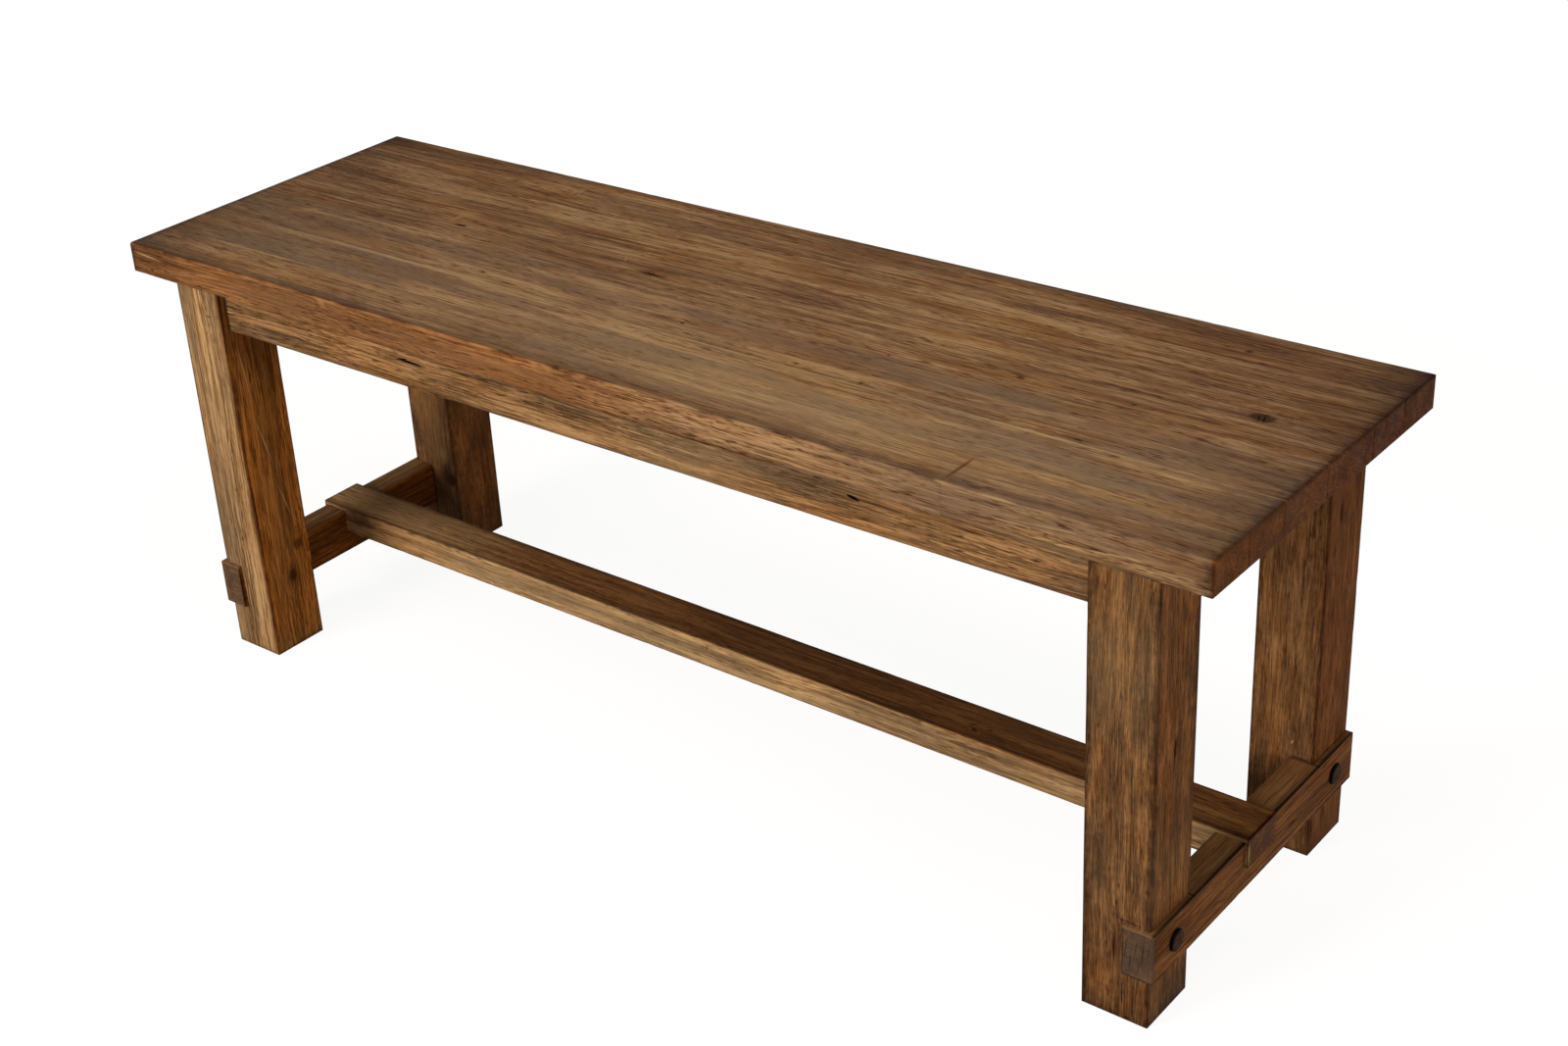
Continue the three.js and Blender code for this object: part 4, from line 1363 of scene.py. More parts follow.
@dataclass
class Posts:
    """The four posts, with the lowest and highest place of their housings, and how far the
    housing's inner wall lies from the post's middle."""

    ease: float = 1.1
    housing: Pair = (48.9, 98.5)
    housing_wall: float = 7.25

    def marks(self) -> Mapping[str, tuple[Mark, ...]]:
        """Lists the marks, measured from the seat's underside and each face's left edge.

        Returns:
            The marks by post.
        """
        left, right, back, far = (Face((x, y, 426.0), X, DOWN, 3.0) for x, y in (
            (-561.2, -174.3), (498.7, -174.3), (498.7, 110.3), (-561.2, 110.3)))
        left_side, right_side, back_side, far_side = (Face((x, y, 426.0), Y, DOWN, 3.0) for x, y in (
            (-498.7, -174.3), (561.2, -174.3), (561.2, 110.3), (-498.7, 110.3)))
        return {
            "front_left": (
                # Painted warm shade over the inner side, which faces +X, and painted shade under the seat at its top
                left_side(FLAME, 32, 110, 150, 380, 0.95), left_side(BURNISH, 32, 60, 200, 110, 0.65),
                left(BURNISH, 31, 426, 300, 260, 0.5), left(BURNISH, 31, 235, 200, 150, 0.4),
                left(BURNISH, 62, 200, 9, 900, 0.6), left_side(BURNISH, 32, 426, 200, 60, 0.2),
                left(STREAK, 14, 120, 1.4, 85, 1.3, -1), left(STREAK, 16, 180, 1.2, 28, 1.2),
                left(CRACK, 42, 35, 5.5, 0.6, 0.7), left(SPECK, 36, 54, 1.4, 1.3), left(SPECK, 34, 291, 2.2, 4.5),
                left(STREAK, 38, 232, 3.4, 3.4), left_side(PALE, 17, 100, 1.5, 42, 0.9, -6),
                left_side(PALE, 27, 180, 1.4, 46, 0.9, -14), left_side(PALE, 40, 252, 1.3, 34, 0.8, -16),
                left_side(RED_KNOT, 36, 345, 11.0, 17.0), left_side(KNOT, 36, 343, 6.5, 9.0, 0.8, 10),
                left_side(KNOT, 49, 311, 8.0, 9.0, 0.8, 20),
            ),
            "front_right": (
                right(CRACK, 38.2, 399, 0.45, 15, 0.75), right(STREAK, 55, 130, 1.6, 70, 1.1, -2),
                right(STREAK, 50, 165, 1.3, 60, 1.0, -3), right(SPECK, 33, 294, 1.4, 4.5),
                right(STREAK, 17, 40, 2.0, 9), right(SPECK, 13, 140, 1.4, 1.4),
                # Painted warm shade over the outer side, which faces +X
                right_side(FLAME, 32, 150, 150, 260, 0.3), right_side(BURNISH, 32, 420, 200, 80, 0.4),
                right_side(CRACK, 31, 170, 2.2, 13, 0.95, 4), right_side(STREAK, 30, 180, 3.4, 26, 1.4, 3),
                right(BURNISH, 31, 426, 300, 150, 0.35), right(FLAME, 31, 440, 300, 120, 0.2),
                # Lines of painted shade beside and over the end stretcher's proud end-grain block
                right(GRIME, 29.5, 352, 1.8, 26, 0.8), right(GRIME, 42, 325.5, 16, 1.6, 0.6),
                right(STREAK, 44, 60, 2.4, 70, 1.0, 4), right(STREAK, 52, 90, 2.0, 60, 1.0, 2),
                right(PALE, 31, 90, 200, 90, 0.13), right_side(PALE, 32, 285, 200, 60, 0.12),
            ),
            "back_right": (
                back(PALE, 41, 311, 1.4, 3.4, 1.4, 25), back(STREAK, 14, 120, 1.2, 90),
                # Painted warm shade over the outer side, which faces +X, with painted shade at its top under the seat
                back_side(FLAME, 32, 150, 150, 400, 0.5), back_side(BURNISH, 32, 60, 200, 90, 0.35),
                back_side(CRACK, 21.5, 86, 2.2, 12, 0.8), back_side(STREAK, 22, 88, 3.6, 20, 1.3),
                back_side(CRACK, 4, 398, 0.9, 12, 0.8), back_side(BURNISH, 32, 426, 200, 60, 0.5),
                # Lines of painted shade where the end stretcher meets the post
                back(FLAME, 22, 290, 9, 70, 0.2), back(GRIME, 50, 326, 18, 1.8, 0.8),
                back_side(GRIME, 32, 326, 60, 1.8, 0.7),
            ),
            "back_left": (
                # Painted warm shade over the inner side, which faces +X, and painted shade low on the front by the
                # end stretcher
                far(FADED, 30, 200, 26, 180, 0.2), far_side(FLAME, 32, 200, 150, 900, 0.5),
                far(BURNISH, 31, 340, 60, 90, 0.7), far(GRIME, 50, 336, 17, 17, 0.6), far(KNOT, 56, 340, 9, 9),
                far(PALE, 46, 310, 8, 16, 0.4),
            ),
        }

    def woods(self) -> Mapping[str, StainedWood]:
        """Gives the posts' woods.

        Returns:
            The woods by the end of the post's name.
        """
        marks = self.marks()
        values = {
            "front_left": (LIGHT_STAIN, 7, (60.0, 80.0), 10.0, -0.01, 1.65, 0.4, 6.0, 0.75),
            "front_right": (POST_STAIN, 17, (-75.0, 60.0), 7.0, 0.04, 1.5, 0.3, 10.0, 0.85),
            "back_right": (POST_STAIN, 29, (90.0, 40.0), 8.0, 0.04, 1.1, 0.15, 6.0, 0.75),
            "back_left": (POST_STAIN, 37, (-50.0, -80.0), 9.0, 0.03, 1.2, 0.3, 7.0, 0.75),
        }
        return {
            name: StainedWood(
                stain, seed, pith, (0.03, 0.02), *rest, 7.0, marks[name], glow=0.35, mottled=name != "front_left")
            for name, (stain, seed, pith, *rest) in values.items()
        }

    def build(self) -> None:
        """Builds every post with its housing and its flat."""
        for name, wood in self.woods().items():
            low, high = corners_of(f"post_{name}")
            outer = int((low + high)[0] > 0)
            wall = (low + high)[0] / 2 + (2 * outer - 1) * self.housing_wall
            housing = Cut(*self.housing, 0, outer, wall)
            Post(f"post_{name}", Grain.ALONG_Z, wood, "post_wood", self.ease, (housing,),
                 inner=(1 - outer, int((low + high)[1] < 0))).build()


@dataclass
class Aprons:
    """The apron box under the seat."""

    ease: float = 0.9

    def build(self) -> None:
        """Builds the four aprons."""
        face = Face((-498.5, -166.3, 425.8), X, DOWN)
        marks = (
            face(CRACK, 262, 21.5, 20, 1.5, 1.0, 2), face(CRACK, 252, 20.5, 9, 0.8, 0.9, -12),
            face(CRACK, 774, 20.5, 8, 2.0, 1.0, 10), face(RED_KNOT, 569, 16.5, 2.2, 1.6),
            face(SPECK, 826, 22, 1.5, 1.5), face(STREAK, 650, 33, 150, 1.2, 0.9), face(STREAK, 880, 30, 100, 1.3),
            # The line 12 mm down the whole face is painted shade under the seat's edge
            face(SPECK, 207, 26, 1.8, 1.2), face(FLAME, 0, 24, 330, 200, 0.1), face(GRIME, 500, 12, 900, 1.6, 0.35),
            face(BURNISH, 400, 24, 160, 60, 0.25), face(BURNISH, 880, 24, 160, 60, 0.15),
            face(BURNISH, 500, 48.5, 900, 9, 0.5), face(PALE, 610, 24, 150, 60, 0.26),
        )
        for node, grain, stain, seed, pith, rings, tone, found in (
            ("front_apron", Grain.ALONG_X, RAIL_STAIN, 13, (70.0, 10.0), 7.0, 0.04, marks),
            ("back_apron", Grain.ALONG_X, RAIL_STAIN, 19, (60.0, -20.0), 8.0, -0.02, ()),
            ("left_end_apron", Grain.ALONG_Y, POST_STAIN, 43, (50.0, 50.0), 8.0, 0.04, ()),
            ("right_end_apron", Grain.ALONG_Y, POST_STAIN, 59, (-60.0, 40.0), 8.0, 0.02, ()),
        ):
            wood = StainedWood(
                stain, seed, pith, (0.01, 0.015), rings, tone, 1.5, 0.3, 4.0, 0.5, 6.0, found, glow=0.35)
            Timber(node, grain, wood, "rail_wood", self.ease, pitch=9.0).build()


@dataclass
class StretcherFrame:
    """The lapped stretcher frame near the floor.

    Attributes:
        ease: The easing of the stretchers' arrises.
        lap_half: Half the width of the lap in an end stretcher.
        lap_floor: The height of its floor.
        recess: Radius and depth of the recess for the screw from below.
        lead: How far outside the timber the drill for it starts.
    """

    ease: float = 0.9
    lap_half: float = 24.8
    lap_floor: float = 71.8
    recess: Pair = (5.1, 4.0)
    lead: float = 2.0

    def marks(self) -> Mapping[str, tuple[Mark, ...]]:
        """Lists the marks, measured from one end of each stretcher's faces.

        Returns:
            The marks by stretcher.
        """
        top, front = Face((-569.9, 24.5, 102.9), X, FORWARD, 3.0), Face((-569.9, -24.5, 102.9), X, DOWN)
        proud = Face((569.9, -24.5, 102.9), Y, DOWN, 2.5)
        outer, inner = (Face((x, -177.8, 98.2), Y, DOWN, 3.0) for x in (566.7, -537.5))
        right_end, left_end = (Face((x, -177.8, 98.2), X, DOWN, 2.5) for x in (537.5, -566.7))
        worn_top, far_top = (Face((x, -177.8, 98.2), X, Y, 3.0) for x in (537.5, -566.7))
        return {
            "long": (
                top(KNOT, 857, 37, 4.5, 3.0, 0.8, 30), top(STREAK, 952, 22, 18, 1.6, 1.4),
                top(SPECK, 870, 30, 2, 1.4), top(PALE, 610, 5, 2.2, 1.2),
                front(RED_KNOT, 552, 9, 2.8, 5.5, 0.8, 10), front(PALE, 128, 22, 5, 2.0, 0.9, 30),
                # The proud end faces +X and gets a painted warm shade
                proud(FLAME, 24, 15, 200, 200, 0.75), proud(BURNISH, 24, 15, 200, 200, 0.6),
                proud(PALE, 0.6, 15, 1.8, 18, 1.2), proud(GRIME, 24, 0, 40, 2.2, 0.9),
                # The top, which lies under the seat, is darkened and turned orange as painted shade
                top(FLAME, 800, 24, 640, 200, 0.7), top(FADED, 70, 24, 190, 60, 0.15),
                top(BURNISH, 680, 24, 700, 140, 0.85), top(BURNISH, 740, 24, 620, 140, 0.3),
                top(BURNISH, 1020, 24, 340, 90, 0.35), top(GRIME, 570, 49, 3000, 5, 0.5),
                top(GRIME, 570, 1, 3000, 5, 0.4), front(GRIME, 540, 13, 900, 1.8, 0.3),
                front(FLAME, 40, 15, 170, 60, 0.2), front(BURNISH, 40, 15, 110, 60, 0.5),
                front(PALE, 400, 15, 420, 60, 0.2),
            ),
            "right_end": (
                outer(STREAK, 238, 31, 16, 2.8, 1.5), outer(CRACK, 240, 31, 8, 1.0, 0.8),
                # Painted warm shade over the outer face, which faces +X
                outer(FLAME, 178, 24, 900, 200, 0.35), right_end(GREY, 15, 24, 40, 60, 0.6),
                *(right_end(GRIME, x, z, wide, long, cover, turn) for x, z, wide, long, turn, cover in (
                    (4, 20, 0.8, 17, 7, 0.5), (8, 31, 0.9, 14, 3, 0.55), (13, 19, 0.7, 16, 8, 0.5),
                    (16, 35, 0.9, 11, 5, 0.5), (19.5, 22, 1.0, 20, 4, 0.6), (24.5, 17, 0.8, 13, 9, 0.5),
                    (25, 38, 0.8, 9, 2, 0.5),
                )),
                # Lines of painted shade in the gaps round the end-grain block
                right_end(GRIME, 0, 24, 2.2, 40, 0.9), right_end(GRIME, 15, 49, 40, 3, 0.7),
                # Painted light over the top, which lies in the seat's shade
                worn_top(FADED, 14, 178, 60, 400, 0.25), worn_top(GRIME, 29.2, 178, 4.4, 400),
                worn_top(STREAK, 9, 90, 1.4, 60, 0.7, 1), worn_top(STREAK, 17, 250, 1.4, 50, 0.8, -2),
                worn_top(PALE, 22, 130, 1.6, 60, 0.5, 1), worn_top(PALE, 20, 240, 1.6, 40, 0.5, -1),
                # Lines of painted shade where the top meets the posts
                worn_top(GRIME, 14, 66, 40, 2.4, 0.8), worn_top(GRIME, 14, 289, 40, 2.4, 0.8),
                # Painted shadow round the two bolt heads, and a line of painted shade beside the long stretcher's
                # proud end
                *(outer(GRIME, y, 24.5, 12.5, 12.5, 0.9) for y in (35.5, 320.1)),
                outer(GRIME, 151, 14, 2.6, 19, 0.7),
            ),
            "left_end": (
                left_end(GREY, 15, 24, 40, 60, 0.25), left_end(STREAK, 10, 26, 1.6, 20, 0.8, 30),
                # The dark line at the block's edge is painted shade in the gap by the post
                left_end(STREAK, 18, 22, 1.6, 20, 0.7, 30), left_end(GRIME, 29.2, 24, 3, 40, 0.8),
                # Painted shade over the inner face, which lies in shade between the posts, and painted light on the
                # top
                inner(FLAME, 178, 24, 900, 200), inner(BURNISH, 178, 24, 400, 200, 0.75),
                far_top(FADED, 14, 178, 60, 400, 0.2),
            ),
        }

    def woods(self) -> Mapping[str, StainedWood]:
        """Gives the stretchers' woods.

        Returns:
            The woods by name.
        """
        lean, marks = (0.01, 0.015), self.marks()
        return {
            "long_stretcher": StainedWood(
                LIGHT_STAIN, 67, (-55.0, 35.0), lean, 8.0, 0.14, 1.45, 0.45, 3.5, 0.7, 6.0, marks["long"],
                glow=0.25),
            "left_end_stretcher": StainedWood(
                RAIL_STAIN, 73, (90.0, 6.0), lean, 8.0, 0.0, 1.1, 0.2, 6.0, 0.75, 5.0, marks["left_end"]),
            "right_end_stretcher": StainedWood(
                POST_STAIN, 79, (90.0, -8.0), lean, 8.0, 0.02, 1.45, 0.2, 6.0, 0.75, 5.0, marks["right_end"]),
        }

    def build(self) -> None:
        """Builds the three stretchers."""
        woods = self.woods()
        Timber("long_stretcher", Grain.ALONG_X, woods.pop("long_stretcher"), "rail_wood", self.ease).build()
        lap = Cut(-self.lap_half, self.lap_half, 0, 1, self.lap_floor)
        radius, depth = self.recess
        for name, wood in woods.items():
            low, high = corners_of(name)
            piece = Timber(name, Grain.ALONG_Y, wood, "rail_wood", self.ease, (lap,)).build()
            start = Vector(((low[0] + high[0]) / 2, 0.0, low[2] - self.lead))
            cut_away(piece, (drill(piece, start, UP, radius, depth + self.lead, 32),))


@dataclass(frozen=True)
class Turned:
    """A form turned round an axis, from radii and distances along it.

    Attributes:
        segments: How many points go round it.
        looped: True if the outline closes on itself, as a washer's does.
        shape: Changes the radius at an angle and a distance, for a thread or flats.
    """

    profile: Sequence[Pair]
    segments: int = 48
    looped: bool = False
    shape: Callable[[float, float, float], float] | None = None

    def build(self, name: str, base: Vector, direction: Vector, material: Material) -> Object:
        """Builds the form.

        Args:
            name: Its name.
            base: Where distance 0 lies.
            direction: The axis.
            material: Its material.

        Returns:
            Its object.
        """
        axis = direction.normalized()
        first = UP.cross(axis) if abs(axis.z) < 0.9 else Vector((1.0, 0.0, 0.0))
        first.normalize()
        second = axis.cross(first)
        rings = []
        for radius, distance in self.profile:
            ring = []
            for index in range(self.segments):
                angle = 2 * math.pi * index / self.segments
                reach = self.shape(angle, radius, distance) if self.shape else radius
                ring.append(base + axis * distance + (first * math.cos(angle) + second * math.sin(angle)) * reach)
            rings.append(ring)
        return skin(name, rings, material, self.looped)


def drill(
    piece: Object, start: Vector, direction: Vector, radius: float, length: float, segments: int = 28
) -> Object:
    """Makes the shape that bores a hole in a piece, from a start outside it."""
    form = Turned(((radius, 0.0), (radius, length)), segments)
    return form.build("drill", start, direction, piece.data.materials[0])


@dataclass(frozen=True)
class Thread:
    """A screw thread, as the shape of a turned form.

    Attributes:
        radius: Radius of the shank that it is cut in.
        flank: How many times steeper its flanks are than a plain zigzag's.
    """

    radius: float
    pitch: float
    start: float
    end: float = math.inf
    flank: float = 1.0
    depth: float = 0.55

    def __call__(self, angle: float, reach: float, distance: float) -> float:
        """Cuts the thread.

        Args:
            angle: The angle round the axis.
            reach: The shank's radius there.
            distance: The distance along the axis.

        Returns:
            The radius that is left.
        """
        if not self.start <= distance <= self.end or reach < self.radius - 0.1:
            return reach
        turn = (distance / self.pitch - angle / (2 * math.pi)) % 1.0
        return reach - self.depth * min(1.0, self.flank * abs(2 * turn - 1))


@dataclass(frozen=True)
class Screw:
    """A wood screw that points up: the radii of its shank and its head, the head's height, the
    thread's pitch, the width and depth of the cross recess in the head, and the lengths of the shank's
    plain part and of its point."""

    radius: float
    head: float
    head_height: float
    pitch: float = 2.0
    recess: Pair = (0.9, 3.2)
    plain: float = 9.0
    point: float = 5.0

    def build(self, node: str, place: Pair) -> None:
        """Builds the screw.

        Args:
            node: The node it replaces.
            place: Where it stands along X and Y.
        """
        low, high = corners_of(node)
        base = Vector((*place, low.z))
        length, radius, head = high.z - low.z, self.radius, self.head
        end = length - self.point
        profile = (
            (0.0, 0.0), (head - 1.2, 0.0), (head - 0.5, 0.15), (head - 0.1, 0.55), (head, 1.0),
            (head, self.head_height), (radius, self.head_height),
            *((radius, d) for d in spread(self.head_height + 0.5, end, self.pitch / 4)), (0.0, length),
        )
        thread = Thread(radius, self.pitch, self.head_height + self.plain, end, 2.2)
        piece = Turned(profile, 20, shape=thread).build(f"turned_{node}", base, UP, ZINC.material())
        width, depth = self.recess
        size = Matrix.Diagonal((head * 1.15 * MM, width * MM, depth * MM, 1.0))
        cutters = []
        for turn in (0.0, 90.0):
            shape = bmesh.new()
            bmesh.ops.create_cube(shape, size=1.0)
            set_down = Matrix.Translation(base * MM) @ Matrix.Rotation(math.radians(turn), 4, "Z") @ size
            bmesh.ops.transform(shape, matrix=set_down, verts=shape.verts)
            cutters.append(finished("driver", shape, ZINC.material()))
        cut_away(piece, cutters)
        carry(piece, node)


@dataclass
class StretcherBolts:
    """The four round-headed bolts through the end stretchers.

    Attributes:
        place: How far the end stretcher's outer face and the bolts lie from the middle along X and Y, and
            their height.
        head: Its radius and height.
        shank: Its radius and the length of it that is made.
        rim: How far in from its edge the head's rim is blackened.
        skew: How far the forged head is out of round, as a share of its radius.
    """

    place: Triple = (566.7, 142.3, 73.7)
    head: Pair = (10.0, 3.3)
    shank: Pair = (4.0, 45.0)
    rim: float = 1.4
    skew: float = 0.006

    def build(self) -> None:
        """Builds the bolts, each with a glossy black rim and a dull brown face."""
        radius, height = self.head
        shank, length = self.shank
        # The head's outline from its edge to its middle: how far in, and how far below its top
        dome = ((0.1, 0.85), (0.4, 0.5), (0.85, 0.25), (1.4, 0.1), (2.1, 0.03), (3.5, 0.0), (6.0, 0.05), (8.5, 0.12))
        profile = (
            (0.0, -length), (shank - 0.6, -length), (shank, -length + 0.8), (shank, 0.2), (radius - 0.4, 0.2),
            (radius, 0.5), (radius, height - 1.15), *((radius - inward, height - below) for inward, below in dome),
            (0.0, height - 0.14),
        )
        form = Turned(profile, 72, shape=lambda angle, r, h: r * (1 + self.skew * math.sin(3 * angle + h)))
        for name, signs in BENCH_CORNERS.items():
            node = f"stretcher_bolt_{name}"
            base = Vector([sign * distance for sign, distance in zip((*signs, 1), self.place)])
            piece = form.build(f"turned_{node}", base, Vector((signs[0], 0.0, 0.0)), BLACK_RIM.material())
            piece.data.materials.append(BLACK_FACE.material())
            for polygon in piece.data.polygons:
                middle = polygon.center
                inside = math.hypot(middle.y - base.y * MM, middle.z - base.z * MM) < (radius - self.rim) * MM
                if inside and abs(middle.x) > (self.place[0] + height - 0.3) * MM:
                    polygon.material_index = 1
            carry(piece, node)


@dataclass
class CornerBlocks:
    """The blocks across the corners of the apron box, with their bolts, washers, nuts and screws.

    Attributes:
        corner: Where the inner faces of two aprons would meet, from the middle.
        near: Distance sum of the block's near face from that corner, along both aprons.
        tongue: Width and length of its tongues.
        face: The glue line at the aprons.
        bolt: Radius of the hanger bolt, the distance sum of the post's flat, and its end past the block.
        bore: Length of the drill for it.
        wood_end: Length of its end in the post.
        gap: The play round and between the fixings.
        washer: Its radius and thickness.
        nut: Its width across flats and its height.
        turned: The width that its ends are turned off to, as a share of that across flats.
        screw_spread: How far each seat screw stands from the bolt.
        recess: Radius and depth of its recess.
        lead: How far outside the block a drill starts, for the screws and for the bolt.
    """

    corner: Pair = (531.2, 144.3)
    near: float = 71.45
    far: float = 99.73
    tongue: Pair = (5.0, 7.0)
    face: float = 0.2
    low_z: float = 389.8
    high_z: float = 425.8
    chamfer: float = 0.7
    bolt: Triple = (4.0, 54.5, 12.0)
    bore: float = 40.0
    wood_end: float = 30.0
    pitch: float = 1.25
    gap: float = 0.3
    washer: Pair = (11.0, 1.6)
    nut: Pair = (13.0, 6.5)
    turned: float = 0.96
    screw: Screw = Screw(2.1, 4.2, 2.6)
    screw_spread: float = 35.0
    recess: Pair = (4.5, 16.0)
    lead: Pair = (3.0, 8.0)

    def outline(self, signs: Signs) -> list[Vector]:
        """Draws the block's plan.

        Args:
            signs: Its corner's signs along X and Y.

        Returns:
            The plan's points, at its lowest height.
        """
        middle = (self.near + self.far) / 2
        width, length = self.tongue
        along = [
            (self.near - self.face, self.face), (middle - width / 2, self.face), (middle - width / 2, -length),
            (middle + width / 2, -length), (middle + width / 2, self.face), (self.far - self.face, self.face),
        ]
        points = along + [(v, u) for u, v in reversed(along)]
        plan = [Vector((signs[0] * (self.corner[0] - u), signs[1] * (self.corner[1] - v), 0.0)) for u, v in points]
        return [point + UP * self.low_z for point in plan]

    def on_diagonal(self, signs: Signs, distance: float) -> Vector:
        """Finds a place on the line of a hanger bolt.

        Args:
            signs: Its corner's signs along X and Y.
            distance: How far in from that corner it is.

        Returns:
            The place.
        """
        step = distance / math.sqrt(2)
        x, y = (sign * (corner - step) for sign, corner in zip(signs, self.corner))
        return Vector((x, y, (self.low_z + self.high_z) / 2))

    def screw_places(self, signs: Signs) -> list[Pair]:
        """Gives the two seat screws' places in a corner's block."""
        (x, y), middle, shift = self.corner, (self.near + self.far) / 4, self.screw_spread / math.sqrt(2)
        return [(signs[0] * (x - middle - s * shift), signs[1] * (y - middle + s * shift)) for s in (1, -1)]

    def block(self, node: str, signs: Signs) -> None:
        """Builds one block with its bores.

        Args:
            node: The node it replaces.
            signs: Its corner's signs along X and Y.
        """
        shape = bmesh.new()
        base = shape.faces.new([shape.verts.new(point * MM) for point in self.outline(signs)])
        raised = bmesh.ops.extrude_face_region(shape, geom=[base])
        lifted = [g for g in raised["geom"] if isinstance(g, bmesh.types.BMVert)]
        bmesh.ops.translate(shape, verts=lifted, vec=UP * (self.high_z - self.low_z) * MM)
        bmesh.ops.recalc_face_normals(shape, faces=shape.faces)
        sharp = [e for e in shape.edges if e.is_manifold and e.calc_face_angle() > 0.5]
        bmesh.ops.bevel(shape, geom=sharp, offset=self.chamfer * MM, segments=2, affect="EDGES", clamp_overlap=True)
        wood = StainedWood(BLOCK_STAIN, 103 + 2 * signs[0] + signs[1], (60.0, 50.0), wash=0.2, burnish=2.0,
                           burnish_cover=0.25, end_reach=1.0)
        coat = WoodCoat(f"{node} wood", wood, Grain.ALONG_X, corners_of(node))
        piece = finished(f"sawn_{node}", shape, coat.build())
        (radius, depth), (below, before) = self.recess, self.lead
        starts = [Vector((*place, self.low_z - below)) for place in self.screw_places(signs)]
        cutters = [drill(piece, start, UP, radius, depth + below) for start in starts]
        start = self.on_diagonal(signs, self.near / math.sqrt(2) - before)
        inward = Vector((-signs[0], -signs[1], 0.0)).normalized()
        cutters.append(drill(piece, start, inward, self.bolt[0] + self.gap, self.bore))
        cut_away(piece, cutters)
        carry(piece, node)

    def bolt_form(self, block_far: float) -> Turned:
        """Draws the hanger bolt, with a machine thread on its outer end.

        Args:
            block_far: The block's far face along it.

        Returns:
            The form.
        """
        radius, flat, past = self.bolt
        start, end, thread_start = flat / math.sqrt(2), block_far + past, block_far - 4.0
        steps = [(radius, d) for d in spread(thread_start, end - 0.7, self.pitch / 6)]
        # Its point, its shank, the thread with a point for each sixth of a turn, and its cut end
        profile = ((0.0, start - self.wood_end), (radius - 1.5, start - 26.0), (radius, start - 24.0),
                   (radius, thread_start - 0.1), *steps, (radius - 0.6, end), (0.0, end))
        return Turned(profile, 24, shape=Thread(radius, self.pitch, thread_start))

    def washer_form(self, start: float) -> Turned:
        """Draws the washer, its edges rounded by punching.

        Args:
            start: Its start along the bolt.

        Returns:
            The form.
        """
        outer, thick = self.washer
        inner, soft = self.bolt[0] + self.gap, 0.3
        return Turned((
            (inner, start), (outer - soft, start), (outer - 0.1, start + 0.1), (outer, start + soft),
            (outer, start + thick - soft), (outer - 0.1, start + thick - 0.1), (outer - soft, start + thick),
            (inner + soft, start + thick), (inner, start + thick - soft),
        ), 48, True)

    def nut_form(self, start: float) -> Turned:
        """Draws the nut: a hexagon whose corners are turned off at both ends.

        Args:
            start: Its start along the bolt.

        Returns:
            The form.
        """
        flats, height = self.nut
        inner, corner, turned = self.bolt[0] + 0.15, flats / math.sqrt(3), flats / 2 * self.turned
        sink = (corner - turned) * math.tan(math.radians(30))

        def hexagon(angle: float, reach: float, distance: float) -> float:
            """Gives the nut's reach: the hexagon, or the chamfer's cone where that is nearer."""
            face = flats / 2 / math.cos((angle % (math.pi / 3)) - math.pi / 6)
            return reach if reach < flats / 2 - 1 else min(face, reach)

        rise = [(turned + (corner - turned) * s / 4, start + sink * s / 4) for s in range(5)]
        fall = [(r, 2 * start + height - d) for r, d in reversed(rise)]
        return Turned(((inner, start), *rise, *fall, (inner + 0.5, start + height), (inner, start + height - 0.5)),
                      72, True, hexagon)

    def fixings(self, name: str, signs: Signs) -> None:
        """Builds one corner's hanger bolt, washer, nut and seat screws.

        Args:
            name: The corner's name.
            signs: Its signs along X and Y.
        """
        inward = Vector((-signs[0], -signs[1], 0.0)).normalized()
        block_far = self.far / math.sqrt(2)
        washer = block_far + self.gap
        for node, form in (
            (f"hanger_bolt_{name}", self.bolt_form(block_far)), (f"hanger_washer_{name}", self.washer_form(washer)),
            (f"hanger_nut_{name}", self.nut_form(washer + self.washer[1] + self.gap)),
        ):
            piece = form.build(f"turned_{node}", self.on_diagonal(signs, 0.0), inward, ZINC.material())
            carry(piece, node)
        for place, letter in zip(self.screw_places(signs), "ab"):
            self.screw.build(f"seat_screw_{name}_{letter}", place)

    def build(self) -> None:
        """Builds the four blocks and what holds them."""
        for name, signs in BENCH_CORNERS.items():
            self.block(f"corner_block_{name}", signs)
            self.fixings(name, signs)


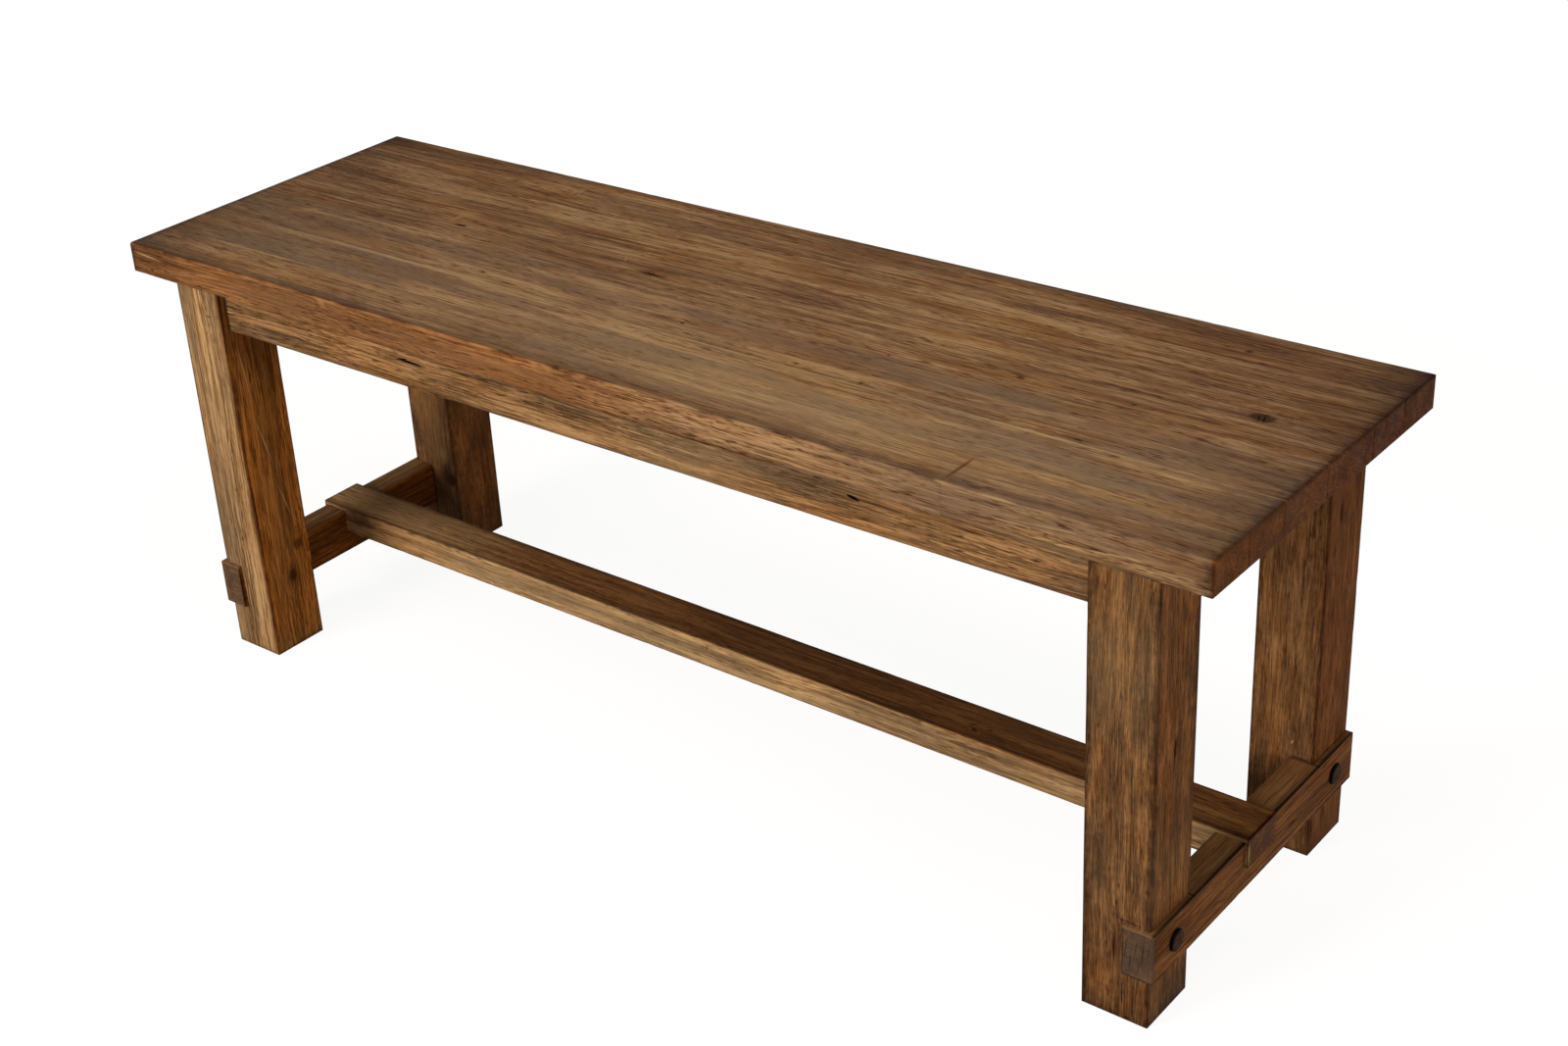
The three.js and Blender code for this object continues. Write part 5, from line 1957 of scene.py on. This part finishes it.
# Studio
@dataclass(frozen=True)
class Viewpoint:
    """The photograph's viewpoint, with its angles in degrees: round the bench from straight in front,
    over the horizon and about the lens's axis.

    Attributes:
        focal: The focal length in pixels.
        principal: The pixel that the lens's axis meets.
        sensor: Width of the sensor.
        clip: The nearest and farthest that the camera sees, in metres.
    """

    place: Triple = (1281.6, -1496.2, 1276.3)
    azimuth: float = 40.399
    elevation: float = 27.754
    roll: float = -3.707
    focal: float = 2376.48
    principal: Pair = (749.7, 521.5)
    picture: tuple[int, int] = (1600, 1067)
    sensor: float = 36.0
    clip: Pair = (0.05, 60.0)

    def build(self) -> None:
        """Makes the scene's camera."""
        turn, rise, roll = (math.radians(a) for a in (self.azimuth, self.elevation, self.roll))
        back = Vector((math.sin(turn) * math.cos(rise), -math.cos(turn) * math.cos(rise), math.sin(rise)))
        right = UP.cross(back).normalized()
        over = back.cross(right)
        axes = Matrix((math.cos(roll) * right + math.sin(roll) * over,
                       math.cos(roll) * over - math.sin(roll) * right, back)).transposed()
        data = bpy.data.cameras.new("viewpoint")
        width, height = self.picture
        data.sensor_width = self.sensor
        data.lens = self.focal / width * self.sensor
        data.shift_x = (width / 2 - self.principal[0]) / width
        data.shift_y = (self.principal[1] - height / 2) / width
        data.clip_start, data.clip_end = self.clip
        camera = bpy.data.objects.new("viewpoint", data)
        camera.matrix_world = Matrix.Translation(Vector(self.place) * MM) @ axes.to_4x4()
        bpy.context.scene.collection.objects.link(camera)
        bpy.context.scene.camera = camera


@dataclass(frozen=True)
class Softbox:
    """A plain soft lamp, with its place, width and height.

    Attributes:
        aim: The height of the place that it points at, over the origin.
        level: The share of a white surface's full brightness that it gives one that faces it.
        gloss: False for a lamp that gloss doesn't reflect.
    """

    name: str
    place: Triple
    aim: float
    size: Pair
    level: float
    colour: str
    gloss: bool = True

    def build(self) -> None:
        """Makes the lamp."""
        data = bpy.data.lights.new(self.name, "AREA")
        data.shape = "RECTANGLE"
        data.size, data.size_y = (s * MM for s in self.size)
        offset = (UP * self.aim - Vector(self.place)) * MM
        data.energy = self.level * math.pi ** 2 * offset.length_squared
        data.color = linear(self.colour)[:3]
        lamp = bpy.data.objects.new(self.name, data)
        lamp.visible_camera, lamp.visible_glossy = False, self.gloss
        lamp.location = Vector(self.place) * MM
        lamp.rotation_mode = "QUATERNION"
        lamp.rotation_quaternion = offset.to_track_quat("-Z", "Y")
        bpy.context.scene.collection.objects.link(lamp)


@dataclass(frozen=True)
class Studio:
    """A pale floor, a white surround and soft lamps.

    Attributes:
        floor_white: How far the camera sees the floor as plain white.
        floor_glow: The strength of that white, which brings the floor by the bench up to the surround's.
        fade: Where the floor starts to go over to the surround's white, and where it has.
        ambient: How bright the surround lights the bench.
    """

    floor_colour: str = "#c9c7c3"
    floor_radius: float = 9000.0
    floor_white: float = 0.68
    floor_glow: float = 1.34
    fade: Pair = (950.0, 2600.0)
    ambient: float = 0.14
    lamps: tuple[Softbox, ...] = (
        Softbox("front", (-1200.0, -3600.0, 1150.0), 250.0, (1700.0, 1600.0), 0.84, "#fff8ee"),
        Softbox("right", (3600.0, -700.0, 600.0), 250.0, (1300.0, 900.0), 0.32, "#ffeed8"),
        Softbox("overhead", (450.0, -500.0, 2100.0), 450.0, (1500.0, 1000.0), 0.5, "#fffaf4"),
        Softbox("back", (-600.0, 3600.0, 430.0), 250.0, (1900.0, 800.0), 0.42, "#fff8ee", False),
    )

    @staticmethod
    def seen(add: Adder) -> NodeSocket:
        """Adds a value of 1 for rays from the camera, from gloss and through glass.

        Args:
            add: Adds a node to the tree.

        Returns:
            The value.
        """
        rays = add("LightPath").node.outputs
        first = add("Math", (rays["Is Camera Ray"], rays["Is Glossy Ray"]), operation="MAXIMUM")
        return add("Math", (first, rays["Is Transmission Ray"]), operation="MAXIMUM")

    def floor(self) -> None:
        """Makes the floor, a round of pale board seen nearly white."""
        shape = bmesh.new()
        bmesh.ops.create_circle(shape, cap_ends=True, segments=96, radius=self.floor_radius * MM)
        material = bpy.data.materials.new("pale floor")
        add = emptied(material)
        paint = add("BsdfDiffuse", {"Color": linear(self.floor_colour)})
        reach = add("VectorMath", (add("TexCoord").node.outputs["Object"],), operation="LENGTH")
        start, end = (distance * MM for distance in self.fade)
        glow, share = (add("MapRange", (reach, start, end, near, 1.0), **SMOOTH)
                       for near in (self.floor_glow, self.floor_white))
        white = add("Emission", {"Color": WHITE, "Strength": glow})
        top = add("MixShader", (add("Math", (self.seen(add), share), operation="MULTIPLY"), paint, white))
        under = add("NewGeometry").node.outputs["Backfacing"]
        add("OutputMaterial", {"Surface": add("MixShader", (under, top, add("BsdfTransparent")))})
        finished("floor", shape, material)

    def surround(self) -> None:
        """Makes the white surround, whose light on the bench is softer."""
        world = bpy.data.worlds.new("surround")
        add = emptied(world)
        level = add("MapRange", {0: self.seen(add), 3: self.ambient, 4: 1.0})
        add("OutputWorld", {"Surface": add("Background", {"Color": WHITE, "Strength": level})})
        bpy.context.scene.world = world

    def build(self) -> None:
        """Makes the whole studio."""
        self.floor()
        self.surround()
        for lamp in self.lamps:
            lamp.build()
        bpy.context.scene.view_settings.view_transform = "Standard"


def main() -> None:
    """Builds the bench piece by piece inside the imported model's frame."""
    logging.basicConfig(level=logging.INFO, format="%(name)s: %(message)s")
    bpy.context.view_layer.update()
    for part in (Viewpoint, Studio, Seat, Posts, Aprons, StretcherFrame, CornerBlocks, StretcherBolts):
        part().build()
    for node in ("lap_screw_left", "lap_screw_right"):
        low, high = corners_of(node)
        Screw(2.5, 4.8, 3.0).build(node, ((low.x + high.x) / 2, 0.0))
    # The threaded inserts sit deep in the posts, so they keep the model's meshes and get the finish
    for piece in bpy.data.objects:
        if piece.name.startswith("threaded_insert"):
            for slot in piece.material_slots:
                slot.material = ZINC.material()
            LOG.info("%s: the model's mesh", piece.name)


if __name__ == "__main__":
    main()
